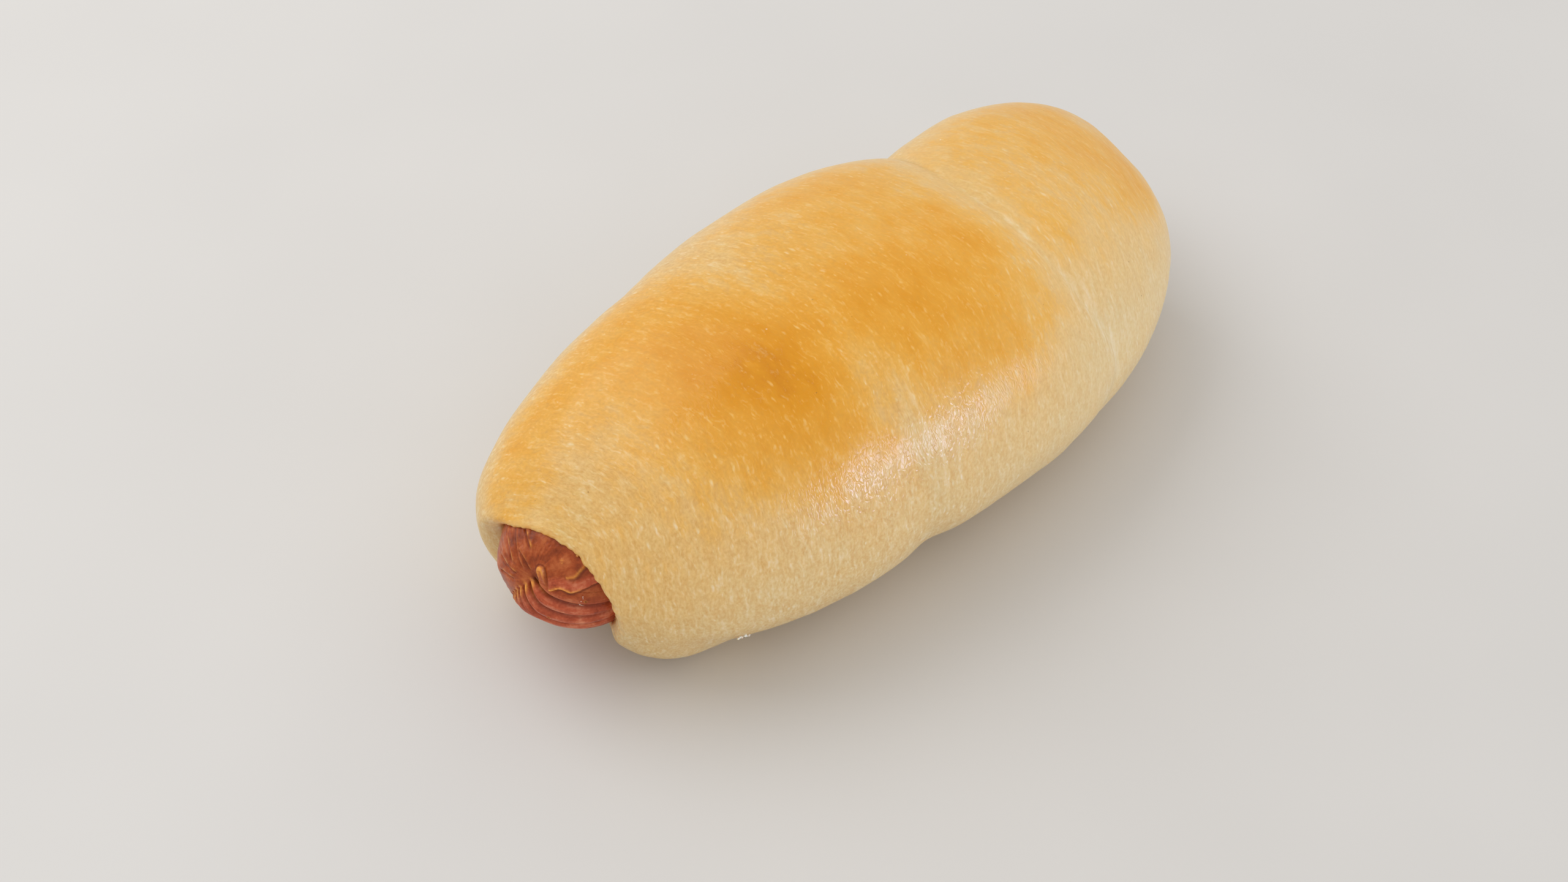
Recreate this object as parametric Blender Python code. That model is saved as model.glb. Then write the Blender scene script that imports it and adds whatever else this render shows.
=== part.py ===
"""A kolache: a sausage baked inside a soft bun whose dough winds round it in three swelling turns.

X runs along the bun. The front, at -X, shows the puckered end of the sausage between two shoulders
of dough, and at the rear, at +X, the last turn closes round the other end. The underside is flat,
with a rim that curls up a little.
"""

import bmesh
import bpy
import numpy as np

# Turns of dough, front to rear: middle, reach to the front and to the rear, half width, height,
# and how far the turn leans along the bun for each metre across it and up it
TURNS = (
    {"x": -0.0288, "y": -0.0004, "front": 0.0409, "rear": 0.0307, "half": 0.0299, "height": 0.0446,
     "lean_across": -0.17, "lean_up": 0.02},
    {"x": -0.0004, "y": 0.0004, "front": 0.0408, "rear": 0.0414, "half": 0.0335, "height": 0.0452,
     "lean_across": -0.06, "lean_up": -0.26},
    {"x": 0.0314, "y": -0.0015, "front": 0.0366, "rear": 0.0350, "half": 0.0291, "height": 0.0405,
     "lean_across": 0.40, "lean_up": -0.10},
)
WAIST_SHARE = 0.44          # height of a turn's widest place, as a share of its height
SAG = 1.06                  # how far a turn would reach below its waist, which the table flattens
ROUND_UP = 1.67             # exponents of the turns' rounding: 2 is an ellipse, more is squarer
ROUND_DOWN = 2.02
ROUND_ACROSS = 2.64
ROUND_FRONT = 1.83
ROUND_REAR = 1.64
ROUND_BETWEEN = 2.53
TURN_BLEND = 11.7           # the higher, the tighter two turns meet
CREASES = ((0.012, 0.10), (0.030, 0.07))    # depth and width of each crease, as shares of the radius

# Shoulders of dough at the front, beside the sausage: middle, radii, and how tightly each blends in
SHOULDERS = (
    ((-0.0485, -0.0093, 0.0110), (0.0131, 0.0082, 0.0104), 8.0),
    ((-0.0545, 0.0142, 0.0145), (0.0120, 0.0107, 0.0132), 13.6),
)
UNEVEN = 0.008              # how uneven the hand-rolled dough is, as a share of its radius
# Slow waves that make it so: radians per metre along X, Y and Z, and where each wave starts
WAVES = (
    ((190, 130, 0), 0.7),
    ((0, 310, -170), 1.9),
    ((260, 0, -210), 2.6),
    ((-90, 60, 150), 0.4),
)

# Sausage
SAUSAGE_RADIUS = 0.0112
SAUSAGE_FRONT = -0.0717     # tips
SAUSAGE_REAR = 0.0610
SAUSAGE_HEIGHT = 0.0181     # of its axis
SAUSAGE_SIDE = -0.0010      # y of its axis at x = 0
SAUSAGE_SLOPE = -0.055      # change of that y along x
SAUSAGE_BEND = 2.5          # how strongly the axis bends back to +Y past the place below, per metre
BEND_PLACE = 0.010
TIP_SHARE = 0.95            # length of each round end, as a share of the radius
GAP = 0.0003                # between the sausage and the dough

# Lips of dough round the sausage, by the angle round its axis: 0 is +Y and a quarter turn is up
FRONT_LIP = {"x": -0.0645, "top": -0.0027, "side": -0.0006, "under": 0.0028, "roll": 0.0012}
REAR_LIP = {"x": 0.0594, "top": -0.0002, "side": 0.0004, "under": 0.0, "roll": 0.0022}
LIP_ROLL_SHARE = 0.12       # what the dough's thickness adds to the width of a lip's rounding
LIP_LEAST = 0.0009          # least thickness of the dough over the sausage
LIP_SOFT = 0.0006           # how softly the dough's own thickness turns into that
FRONT_HUB = -0.044          # where the fans of lines that find each end's surface start
REAR_HUB = 0.042
BORE_MOUTH = 0.0100         # length of the bore's mouth, which follows the sausage's round end
BODY_FRONT = -0.0500        # stretch where the sausage and the bore are plain
BODY_REAR = 0.0450

# The underside is flat between four corners, and its rim curls up a little beyond them
REST_CORNERS = ((-0.0400, -0.0160), (0.0340, -0.0180), (0.0340, 0.0160), (-0.0400, 0.0180))
RIM_RISE = 0.0003
RIM_WIDTH = 0.006
ON_TABLE = 0.000001         # points below this height lie on the table

# Puckered end of the sausage, in metres along its skin: across from the tip, and up from the tip
PUCKER = (-0.0022, 0.0037)
PUCKER_DEPTH = 0.0010
PUCKER_RADIUS = 0.0024
FOLD_START = (-0.0021, 0.0036)      # head of the first fold
FOLD_TURN = np.radians(-55.2)       # direction of the row of fold heads
FOLD_SPACING = 0.00121
FOLD_SPREAD = 0.00256               # added to the spacing away from the heads
FOLD_SPREAD_OVER = 0.0039
FOLD_BEND = 28.7                    # how strongly the folds sweep to the near side, per metre
FOLD_COUNT = 6
FOLD_DEPTH = 0.00065
FOLD_HEAD = 0.0012                  # length over which a fold rises at its head
FOLD_FADE = 0.0110                  # distance over which the folds flatten, down to a share
FOLD_REST = 0.3
PLEAT_ANGLES = np.radians((38.0, 84.0, 112.0))   # pleats that spread upwards from the pucker
PLEAT_DEPTH = 0.00030
PLEAT_WIDTH = 0.00060
PLEAT_START = 0.0015
PLEAT_LENGTH = 0.0075
FLAP = (-0.0072, 0.0050)            # lobe of skin folded over the first fold
FLAP_RADII = (0.0034, 0.0016)
FLAP_HEIGHT = 0.00055

# Search along a line for a surface
FARTHEST = 0.06
HALVINGS = 26

# Fineness of the meshes
BUN_ROUND = 48
LIP_STEPS = 13
MIDDLE_STEPS = 24
BORE_STEPS = 6
SAUSAGE_ROUND = 80
TIP_STEPS = 22
REAR_TIP_STEPS = 12
BODY_STEPS = 8


def turn_field(points, turn, front_rounding, rear_rounding):
    """1 on a turn's surface, less inside it."""
    waist = WAIST_SHARE * turn["height"]
    above = points[..., 2] - waist
    across = points[..., 1] - turn["y"]
    along = points[..., 0] - turn["x"] - turn["lean_across"] * across - turn["lean_up"] * above
    length = np.where(
        along < 0,
        (np.maximum(-along, 0) / turn["front"]) ** front_rounding,
        (np.maximum(along, 0) / turn["rear"]) ** rear_rounding,
    )
    width = (np.abs(across) / turn["half"]) ** ROUND_ACROSS
    up = (np.maximum(above, 0) / (turn["height"] - waist)) ** ROUND_UP
    down = (np.maximum(-above, 0) / (waist * SAG)) ** ROUND_DOWN
    return np.sqrt(length + width + up + down)


def blend(first, second, sharpness):
    """The lower of two fields, with the corner between them rounded."""
    low = np.minimum(first, second)
    return low - np.log(np.exp(-sharpness * (first - low)) + np.exp(-sharpness * (second - low))) / sharpness


def unevenness(points):
    """Slow swells in the dough, between -1 and 1."""
    return sum(np.sin(points @ np.array(wave) + start) for wave, start in WAVES) / len(WAVES)


def dough_field(points):
    """1 on the surface of the dough, the sausage's bore left out, and less inside."""
    front = turn_field(points, TURNS[0], ROUND_FRONT, ROUND_BETWEEN)
    middle = turn_field(points, TURNS[1], ROUND_BETWEEN, ROUND_BETWEEN)
    rear = turn_field(points, TURNS[2], ROUND_BETWEEN, ROUND_REAR)
    field = blend(blend(front, middle, TURN_BLEND), rear, TURN_BLEND)
    for (depth, width), apart in zip(CREASES, (front - middle, middle - rear)):
        field = field + depth * np.exp(-(np.abs(apart / width) ** 1.5))
    for middle_point, radii, sharpness in SHOULDERS:
        shoulder = np.linalg.norm((points - middle_point) / radii, axis=-1)
        field = blend(field, shoulder, sharpness)
    return field + UNEVEN * unevenness(points)


def axis_point(x):
    """Points on the sausage's axis."""
    x = np.asarray(x, float)
    y = SAUSAGE_SIDE + SAUSAGE_SLOPE * x + SAUSAGE_BEND * np.maximum(x - BEND_PLACE, 0) ** 2
    return np.stack([x, y, np.full_like(x, SAUSAGE_HEIGHT)], axis=-1)


def axis_radius(x, extra=0.0):
    """Radius of the plain sausage at x, where extra is a layer round it."""
    tip_length = SAUSAGE_RADIUS * TIP_SHARE
    past = np.maximum(SAUSAGE_FRONT + tip_length - x, x - (SAUSAGE_REAR - tip_length))
    past = np.maximum(past, 0) / TIP_SHARE
    return np.sqrt(np.maximum((SAUSAGE_RADIUS + extra) ** 2 - past**2, 0))


def sausage_field(points, extra=0.0):
    """1 on the plain sausage's surface, or on a layer round it, and less inside."""
    tip_length = SAUSAGE_RADIUS * TIP_SHARE
    before = np.minimum(points[..., 0] - (SAUSAGE_FRONT + tip_length), 0)
    after = np.maximum(points[..., 0] - (SAUSAGE_REAR - tip_length), 0)
    off = points - axis_point(points[..., 0])
    off[..., 0] = (before + after) / TIP_SHARE
    return np.linalg.norm(off, axis=-1) / (SAUSAGE_RADIUS + extra)


def reach(start, direction, field):
    """How far each line runs from its start to the field's surface, or to the table."""
    near = np.zeros(direction.shape[:-1])
    far = np.full(direction.shape[:-1], FARTHEST)
    for _ in range(HALVINGS):
        middle = (near + far) / 2
        inside = field(start + direction * middle[..., None]) < 1
        near = np.where(inside, middle, near)
        far = np.where(inside, far, middle)
    falling = np.maximum(-direction[..., 2], 1e-9)
    return np.minimum(far, start[..., 2] / falling)


def round_directions(count):
    """Directions square to X, all the way round, and their angles."""
    angle = np.linspace(0, 2 * np.pi, count, endpoint=False)
    return angle, np.stack([np.zeros(count), np.cos(angle), np.sin(angle)], axis=-1)


def lip_line(lip, angle, ring):
    """Where a lip meets the layer round the sausage."""
    x = lip["x"] + lip["top"] * np.sin(angle) + lip["side"] * np.cos(angle)
    x = x + lip["under"] * np.maximum(-np.sin(angle), 0) ** 2
    return axis_point(x) + ring * axis_radius(x, GAP)[:, None]


def thickness_of(dough):
    """Thickness of the dough over the sausage, which never falls below the least."""
    return (dough + LIP_LEAST + np.hypot(dough - LIP_LEAST, LIP_SOFT)) / 2


def lip_rings(lip, hub_x, angle, ring):
    """Rings from a lip's edge up its rounding and over the end of the bun, to the hub's own ring."""
    hub = axis_point(np.full(len(angle), hub_x))
    edge = lip_line(lip, angle, ring) - hub
    edge /= np.linalg.norm(edge, axis=1, keepdims=True)
    opening = np.arccos(np.sum(edge * ring, axis=1))
    rings = []
    for share in np.linspace(0, 1, LIP_STEPS + 1)[:-1] ** 1.6:
        swing = opening * share
        direction = np.sin(opening - swing)[:, None] * edge + np.sin(swing)[:, None] * ring
        direction /= np.sin(opening)[:, None]
        inner = reach(hub, direction, lambda points: sausage_field(points, GAP))
        thickness = thickness_of(reach(hub, direction, dough_field) - inner)
        rounding = np.clip(swing * inner / (lip["roll"] + LIP_ROLL_SHARE * thickness), 0, 1)
        rise = np.sqrt(1 - (1 - rounding) ** 2)
        rings.append(hub + direction * (inner + thickness * rise)[:, None])
    return rings


def smooth_step(value):
    value = np.clip(value, 0, 1)
    return value * value * (3 - 2 * value)


def curl_rim(rings):
    """Lifts the rim of the underside, so that the dough rests between four of its points."""
    points = np.concatenate(rings)
    resting = points[points[:, 2] < ON_TABLE][:, :2]
    corners = [resting[np.hypot(*(resting - corner).T).argmin()] for corner in REST_CORNERS]
    beyond = np.full(len(points), -1.0)
    for corner, following in zip(corners, corners[1:] + corners[:1]):
        side = (following - corner) / np.linalg.norm(following - corner)
        beyond = np.maximum(beyond, (points[:, :2] - corner) @ np.array([side[1], -side[0]]))
    points[:, 2] = np.maximum(points[:, 2], RIM_RISE * smooth_step(beyond / RIM_WIDTH))
    return list(points.reshape(len(rings), -1, 3))


def bun_rings():
    """Rings of the dough: over the outside from the front lip to the rear one, and back through the bore."""
    angle, ring = round_directions(BUN_ROUND)
    front = lip_rings(FRONT_LIP, FRONT_HUB, angle, ring)
    rear = lip_rings(REAR_LIP, REAR_HUB, angle, ring)
    middle = []
    for x in np.linspace(FRONT_HUB, REAR_HUB, MIDDLE_STEPS + 1):
        start = axis_point(np.full(BUN_ROUND, x))
        middle.append(start + ring * reach(start, ring, dough_field)[:, None])
    depths = np.linspace(0, BORE_MOUTH, BORE_STEPS + 1)[1:]
    bore_places = [rear[0][:, 0] - depth for depth in depths]
    bore_places += [np.full(BUN_ROUND, x) for x in np.linspace(BODY_REAR, BODY_FRONT, BODY_STEPS)]
    bore_places += [front[0][:, 0] + depth for depth in depths[::-1]]
    bore = [axis_point(x) + ring * axis_radius(x, GAP)[:, None] for x in bore_places]
    return curl_rim(front + middle + rear[::-1]) + bore


def pucker_relief(across, up):
    """Height of the skin above the plain round end, from its place along the skin."""
    from_pucker = np.hypot(across - PUCKER[0], up - PUCKER[1])
    relief = -PUCKER_DEPTH * np.exp(-((from_pucker / PUCKER_RADIUS) ** 2))

    along_row = np.array([np.cos(FOLD_TURN), np.sin(FOLD_TURN)])
    off_row = np.array([np.sin(FOLD_TURN), -np.cos(FOLD_TURN)])
    place = np.stack([across - FOLD_START[0], up - FOLD_START[1]], axis=-1)
    row = place @ along_row
    away = place @ off_row
    reached = np.maximum(away, 0)
    spacing = FOLD_SPACING + FOLD_SPREAD * (1 - np.exp(-reached / FOLD_SPREAD_OVER))
    number = (row + FOLD_BEND * reached**2) / spacing
    shown = smooth_step(away / FOLD_HEAD + 0.4) * smooth_step(number + 0.9)
    shown = shown * smooth_step(FOLD_COUNT + 0.5 - number)
    shown = shown * (FOLD_REST + (1 - FOLD_REST) * np.exp(-((reached / FOLD_FADE) ** 2)))
    relief = relief - FOLD_DEPTH * shown * (0.5 + 0.5 * np.cos(2 * np.pi * number))

    for angle in PLEAT_ANGLES:
        out = (across - PUCKER[0]) * np.cos(angle) + (up - PUCKER[1]) * np.sin(angle)
        aside = (up - PUCKER[1]) * np.cos(angle) - (across - PUCKER[0]) * np.sin(angle)
        length = smooth_step(out / PLEAT_START) * smooth_step(2 - out / PLEAT_LENGTH)
        relief = relief - PLEAT_DEPTH * length * np.exp(-((aside / PLEAT_WIDTH) ** 2))

    lobe = np.hypot((across - FLAP[0]) / FLAP_RADII[0], (up - FLAP[1]) / FLAP_RADII[1])
    return relief + FLAP_HEIGHT * np.exp(-(lobe**4))


def tip_ring(x_tip, side, lift, angle, ring):
    """Ring of a puckered end, at an angle of lift from its tip; side is -1 at the front, 1 at the rear."""
    along_skin = SAUSAGE_RADIUS * lift
    relief = pucker_relief(along_skin * np.cos(angle), along_skin * np.sin(angle))
    if side > 0:
        relief = np.minimum(relief, 0)      # at the rear the dough lies close round the flap
    radius = SAUSAGE_RADIUS + relief
    middle = x_tip - side * SAUSAGE_RADIUS * TIP_SHARE
    x = middle + side * radius * TIP_SHARE * np.cos(lift)
    return axis_point(x) + ring * (radius * np.sin(lift))[:, None]


def sausage_rings():
    """Rings of the sausage from its front tip to its rear one, and the two tips."""
    angle, ring = round_directions(SAUSAGE_ROUND)
    front_lifts = np.radians(90) * np.linspace(0, 1, TIP_STEPS + 1)[1:]
    rear_lifts = np.radians(90) * np.linspace(0, 1, REAR_TIP_STEPS + 1)[1:]
    front = [tip_ring(SAUSAGE_FRONT, -1, lift, angle, ring) for lift in front_lifts]
    rear = [tip_ring(SAUSAGE_REAR, 1, lift, angle, ring) for lift in rear_lifts]
    body = []
    for x in np.linspace(BODY_FRONT, BODY_REAR, BODY_STEPS):
        body.append(axis_point(np.full(SAUSAGE_ROUND, x)) + ring * SAUSAGE_RADIUS)
    tip_relief = pucker_relief(np.zeros(1), np.zeros(1))[0]
    front_tip = axis_point(SAUSAGE_FRONT - tip_relief * TIP_SHARE)
    rear_tip = axis_point(SAUSAGE_REAR + tip_relief * TIP_SHARE)
    return front + body + rear[::-1], front_tip, rear_tip


def mesh_object(name, rings, tips, material):
    """A closed mesh from rings: a tube that closes on itself, or one that two tips close."""
    mesh = bpy.data.meshes.new(name)
    shape = bmesh.new()
    loops = [[shape.verts.new(point) for point in ring] for ring in rings]
    pairs = list(zip(loops, loops[1:]))
    if tips is None:
        pairs.append((loops[-1], loops[0]))
    for first, second in pairs:
        for here in range(len(first)):
            beside = here - 1
            shape.faces.new((first[beside], first[here], second[here], second[beside]))
    if tips is not None:
        for tip, loop in zip(tips, (loops[0], loops[-1])):
            point = shape.verts.new(tip)
            for here in range(len(loop)):
                shape.faces.new((loop[here - 1], loop[here], point))
    bmesh.ops.recalc_face_normals(shape, faces=shape.faces)
    shape.to_mesh(mesh)
    shape.free()
    mesh.shade_smooth()
    mesh.materials.append(material)
    piece = bpy.data.objects.new(name, mesh)
    bpy.context.collection.objects.link(piece)
    return piece


def surface(name, colour, roughness):
    """A plain material."""
    material = bpy.data.materials.new(name)
    material.use_nodes = True
    shader = material.node_tree.nodes["Principled BSDF"]
    shader.inputs["Base Color"].default_value = (*colour, 1)
    shader.inputs["Roughness"].default_value = roughness
    shader.inputs["Metallic"].default_value = 0.0
    return material


def centre_on_floor(pieces):
    """Moves every piece alike, so that the origin is in the middle of the underside's box."""
    corners = np.array([vertex.co[:] for piece in pieces for vertex in piece.data.vertices])
    middle = (corners.min(axis=0) + corners.max(axis=0)) / 2
    for piece in pieces:
        for vertex in piece.data.vertices:
            vertex.co.x -= middle[0]
            vertex.co.y -= middle[1]
            vertex.co.z -= corners[:, 2].min()


for old in list(bpy.data.objects):
    bpy.data.objects.remove(old, do_unlink=True)

crust = surface("golden_crust", (0.75, 0.42, 0.10), 0.45)
skin = surface("sausage_skin", (0.39, 0.09, 0.05), 0.38)
bun = mesh_object("bun", bun_rings(), None, crust)
sausage_loops, *sausage_tips = sausage_rings()
sausage = mesh_object("sausage", sausage_loops, sausage_tips, skin)
centre_on_floor([bun, sausage])
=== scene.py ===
# %% [markdown]
# # A sausage kolache
# A rope of sweet dough is wound three times round a sausage, laid on a tray, proofed and baked. The
# turns swell into each other, the crowns brown first, and the sausage's tied end stays in sight.
# The exact solids are loaded as a frame. Every piece made here takes the place of one of them, at the
# same size and in the same place, and adds the fine surface that makes it look like food.

# %% Load the frame
import math

import bmesh
import bpy
import numpy as np
from mathutils import Matrix, Vector


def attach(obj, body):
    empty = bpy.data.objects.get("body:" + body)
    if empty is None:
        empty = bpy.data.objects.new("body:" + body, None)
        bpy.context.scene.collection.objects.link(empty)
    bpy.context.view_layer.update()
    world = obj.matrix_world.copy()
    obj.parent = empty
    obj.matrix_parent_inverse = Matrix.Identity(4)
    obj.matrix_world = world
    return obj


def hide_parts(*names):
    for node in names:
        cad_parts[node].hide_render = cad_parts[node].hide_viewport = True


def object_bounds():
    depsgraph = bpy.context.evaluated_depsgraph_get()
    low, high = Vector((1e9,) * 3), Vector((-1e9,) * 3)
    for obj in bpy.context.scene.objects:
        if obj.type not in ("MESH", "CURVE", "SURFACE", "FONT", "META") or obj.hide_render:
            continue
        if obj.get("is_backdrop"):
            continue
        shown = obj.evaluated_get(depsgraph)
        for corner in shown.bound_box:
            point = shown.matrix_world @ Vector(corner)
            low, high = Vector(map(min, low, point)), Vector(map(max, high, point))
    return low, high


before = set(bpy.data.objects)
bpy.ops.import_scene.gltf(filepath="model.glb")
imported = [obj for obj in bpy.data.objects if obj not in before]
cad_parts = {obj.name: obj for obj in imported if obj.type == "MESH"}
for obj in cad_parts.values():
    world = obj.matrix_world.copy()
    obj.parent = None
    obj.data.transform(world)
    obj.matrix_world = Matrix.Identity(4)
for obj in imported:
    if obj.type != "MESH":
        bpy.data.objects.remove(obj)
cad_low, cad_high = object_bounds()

print("the solids' box, mm:", [round(1000 * side, 1) for side in cad_high - cad_low])

# %% [markdown]
# ## Where the bun's own axes lie
# The dough is easiest to describe in axes of its own: x along the sausage, and the table at z = 0. The
# frame has its origin in the middle of the underside, so one shift carries the first into the second.
# It is read from the frame itself: the sausage's tip is the lowest x of its solid, and the ring of points
# nearest the solid's middle is as wide to one side of the sausage's axis as to the other.

# %% Find the shift
SAUSAGE_RADIUS = 0.0112
SAUSAGE_FRONT = -0.0717     # x of the front tip, in the bun's own axes
SAUSAGE_REAR = 0.0610
SAUSAGE_HEIGHT = 0.0181     # of its axis above the table
SAUSAGE_SIDE = -0.0010      # y of its axis at x = 0
SAUSAGE_SLOPE = -0.055      # change of that y along x
SAUSAGE_BEND = 2.5          # bend of the axis back to +Y, per metre, past the next place
BEND_PLACE = 0.010
TIP_SHARE = 0.95            # length of each round end, as a share of the radius
SAME_RING = 0.00005         # points of one ring lie this close together along the bun


def axis_point(x):
    """Points on the sausage's axis, in the bun's own axes."""
    x = np.asarray(x, float)
    y = SAUSAGE_SIDE + SAUSAGE_SLOPE * x + SAUSAGE_BEND * np.maximum(x - BEND_PLACE, 0) ** 2
    return np.stack([x, y, np.full_like(x, SAUSAGE_HEIGHT)], axis=-1)


solid_points = np.array([vertex.co[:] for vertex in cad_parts["sausage"].data.vertices])
tip_x = solid_points[:, 0].min()
from_middle = np.abs(solid_points[:, 0] - (tip_x + solid_points[:, 0].max()) / 2)
middle_ring = solid_points[from_middle < from_middle.min() + SAME_RING]
body_x = middle_ring[:, 0].mean() - tip_x + SAUSAGE_FRONT
body_y = (middle_ring[:, 1].min() + middle_ring[:, 1].max()) / 2
SHIFT = np.array([tip_x - SAUSAGE_FRONT, body_y - axis_point(body_x)[1], 0.0])
print("shift to the frame, mm:", (1000 * SHIFT).round(2))

# %% [markdown]
# ## The camera
# The camera stands where the photographer's did: in front of the shown end and to its near side, looking
# down at 45 degrees through a lens of about 57 mm on a 36 mm wide frame. Three turns say how it is held,
# which is easier to read than a matrix. Depth of field stays off, so every view of the model is sharp.

# %% Place the camera
CAMERA_PLACE = np.array([-0.2151, -0.1885, 0.2891])
CAMERA_HEADING = math.radians(-46.06)
CAMERA_TILT = math.radians(44.61)
CAMERA_ROLL = math.radians(0.54)

camera = bpy.data.objects.new("camera", bpy.data.cameras.new("camera"))
camera.data.sensor_width = 36
camera.data.lens = 56.74
camera.matrix_world = (
    Matrix.Translation(CAMERA_PLACE + SHIFT)
    @ Matrix.Rotation(CAMERA_HEADING, 4, "Z")
    @ Matrix.Rotation(CAMERA_TILT, 4, "X")
    @ Matrix.Rotation(CAMERA_ROLL, 4, "Z")
)
bpy.context.collection.objects.link(camera)
bpy.context.scene.camera = camera
bpy.context.scene.view_settings.view_transform = "Standard"
print("camera at, mm:", [round(1000 * c) for c in camera.location])

# %% [markdown]
# ## The dough as a field
# Hand-shaped dough has no drawing. A field describes it well: a number that is 1 on the surface and less
# inside. Each turn of dough is a squared-off, leaning egg, and blending the eggs gives the soft waists
# between them. Metaballs would do something like it, but a field of our own allows flat undersides,
# creases and turns that lean, and it lets us ask later how near a point is to a crease.

# %% Sizes of the turns
TURNS = (
    {"x": -0.0288, "y": -0.0004, "front": 0.0409, "rear": 0.0307, "half": 0.0299, "height": 0.0446,
     "lean_across": -0.17, "lean_up": 0.02},
    {"x": -0.0004, "y": 0.0004, "front": 0.0408, "rear": 0.0414, "half": 0.0335, "height": 0.0452,
     "lean_across": -0.06, "lean_up": -0.26},
    {"x": 0.0314, "y": -0.0015, "front": 0.0366, "rear": 0.0350, "half": 0.0291, "height": 0.0405,
     "lean_across": 0.40, "lean_up": -0.10},
)
WAIST_SHARE = 0.44          # height of a turn's widest place, as a share of its height
SAG = 1.06                  # how far a turn would reach below its waist, which the table flattens
ROUND_UP = 1.67             # exponents of the turns' rounding: 2 is an ellipse, more is squarer
ROUND_DOWN = 2.02
ROUND_ACROSS = 2.64
ROUND_FRONT = 1.83
ROUND_REAR = 1.64
ROUND_BETWEEN = 2.53
TURN_BLEND = 11.7           # the higher, the tighter two turns meet
CREASES = ((0.012, 0.10), (0.030, 0.07))    # depth and width of each crease, as shares of the radius
CREASE_POWER = 1.5          # between 1, which is a sharp V, and 2, which is a round bell
NEAR_CREASE = (0.022, 0.055)                # what the soft crease gains on the near flank
NEAR_FROM, NEAR_OVER = -0.013, 0.014        # y where that starts, and the distance over which it grows
FINE_GROOVE = (0.010, 0.014)                # narrow groove at the bottom of the sharp crease
SHOULDERS = (               # dough beside the sausage at the front: middle, radii, tightness of the blend
    ((-0.0485, -0.0093, 0.0110), (0.0131, 0.0082, 0.0104), 8.0),
    ((-0.0545, 0.0142, 0.0145), (0.0120, 0.0107, 0.0132), 13.6),
)
UNEVEN = 0.008              # slow swells, as a share of the radius
WAVES = (                   # radians per metre along X, Y and Z, and where each wave starts
    ((190, 130, 0), 0.7),
    ((0, 310, -170), 1.9),
    ((260, 0, -210), 2.6),
    ((-90, 60, 150), 0.4),
)
print("turns, widest, mm:", [2000 * turn["half"] for turn in TURNS])


# %% The field
def smooth_step(value):
    """0 below 0, 1 above 1, and a soft rise between them."""
    value = np.clip(value, 0, 1)
    return value * value * (3 - 2 * value)


def bell(value, width):
    """1 where the value is 0, and falling off on both sides of it."""
    return np.exp(-((value / width) ** 2))


def turn_field(points, turn, front_rounding, rear_rounding):
    """1 on a turn's surface, less inside it."""
    waist = WAIST_SHARE * turn["height"]
    above = points[..., 2] - waist
    across = points[..., 1] - turn["y"]
    along = points[..., 0] - turn["x"] - turn["lean_across"] * across - turn["lean_up"] * above
    length = np.where(
        along < 0,
        (np.maximum(-along, 0) / turn["front"]) ** front_rounding,
        (np.maximum(along, 0) / turn["rear"]) ** rear_rounding,
    )
    width = (np.abs(across) / turn["half"]) ** ROUND_ACROSS
    up = (np.maximum(above, 0) / (turn["height"] - waist)) ** ROUND_UP
    down = (np.maximum(-above, 0) / (waist * SAG)) ** ROUND_DOWN
    return np.sqrt(length + width + up + down)


def three_turns(points):
    """The field of each turn by itself."""
    front = turn_field(points, TURNS[0], ROUND_FRONT, ROUND_BETWEEN)
    middle = turn_field(points, TURNS[1], ROUND_BETWEEN, ROUND_BETWEEN)
    rear = turn_field(points, TURNS[2], ROUND_BETWEEN, ROUND_REAR)
    return front, middle, rear


def blend(first, second, sharpness):
    """The lower of two fields, with the corner between them rounded."""
    low = np.minimum(first, second)
    return low - np.log(np.exp(-sharpness * (first - low)) + np.exp(-sharpness * (second - low))) / sharpness


def unevenness(points):
    """Slow swells in the dough, between -1 and 1."""
    return sum(np.sin(points @ np.array(wave) + start) for wave, start in WAVES) / len(WAVES)


def dough_field(points):
    """1 on the surface of the dough, the sausage's bore left out, and less inside."""
    front, middle, rear = three_turns(points)
    field = blend(blend(front, middle, TURN_BLEND), rear, TURN_BLEND)
    for (depth, width), apart in zip(CREASES, (front - middle, middle - rear)):
        field = field + depth * np.exp(-(np.abs(apart / width) ** CREASE_POWER))
    near = smooth_step((NEAR_FROM - points[..., 1]) / NEAR_OVER)
    field = field + NEAR_CREASE[0] * near * bell(front - middle, NEAR_CREASE[1])
    field = field + FINE_GROOVE[0] * bell(middle - rear, FINE_GROOVE[1])
    for middle_point, radii, sharpness in SHOULDERS:
        shoulder = np.linalg.norm((points - middle_point) / radii, axis=-1)
        field = blend(field, shoulder, sharpness)
    return field + UNEVEN * unevenness(points)


print("field on the sausage's axis:", dough_field(axis_point(np.zeros(1))).round(2))

# %% [markdown]
# ## From a field to a mesh
# A surface can be taken from a field with a voxel grid, but the grid's steps show in a glossy crust. Here
# lines are shot from the sausage's axis instead, and each is halved in until it ends on the surface. The
# ends form rings, the rings form a clean tube of quads, and the dough's skin gets an even grain of faces.
# The tube runs over the outside from the front lip to the rear one and comes back through the bore.

# %% Helpers for the lines
FARTHEST = 0.06             # no line is longer
HALVINGS = 19
LEAST_FALL = 1e-9           # keeps a level line from being divided by nothing
LIP_GAP = 0.00006           # the dough has shrunk a hair away from the sausage
REAR_TRIM = 0.0004          # finer rings reach further round the rear end, which this takes back
TRIM_FROM, TRIM_OVER = 0.052, 0.014


def trim_rear(points):
    """Draws the rear end in by a hair, in place."""
    points[..., 0] -= REAR_TRIM * smooth_step((points[..., 0] - TRIM_FROM) / TRIM_OVER)


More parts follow.
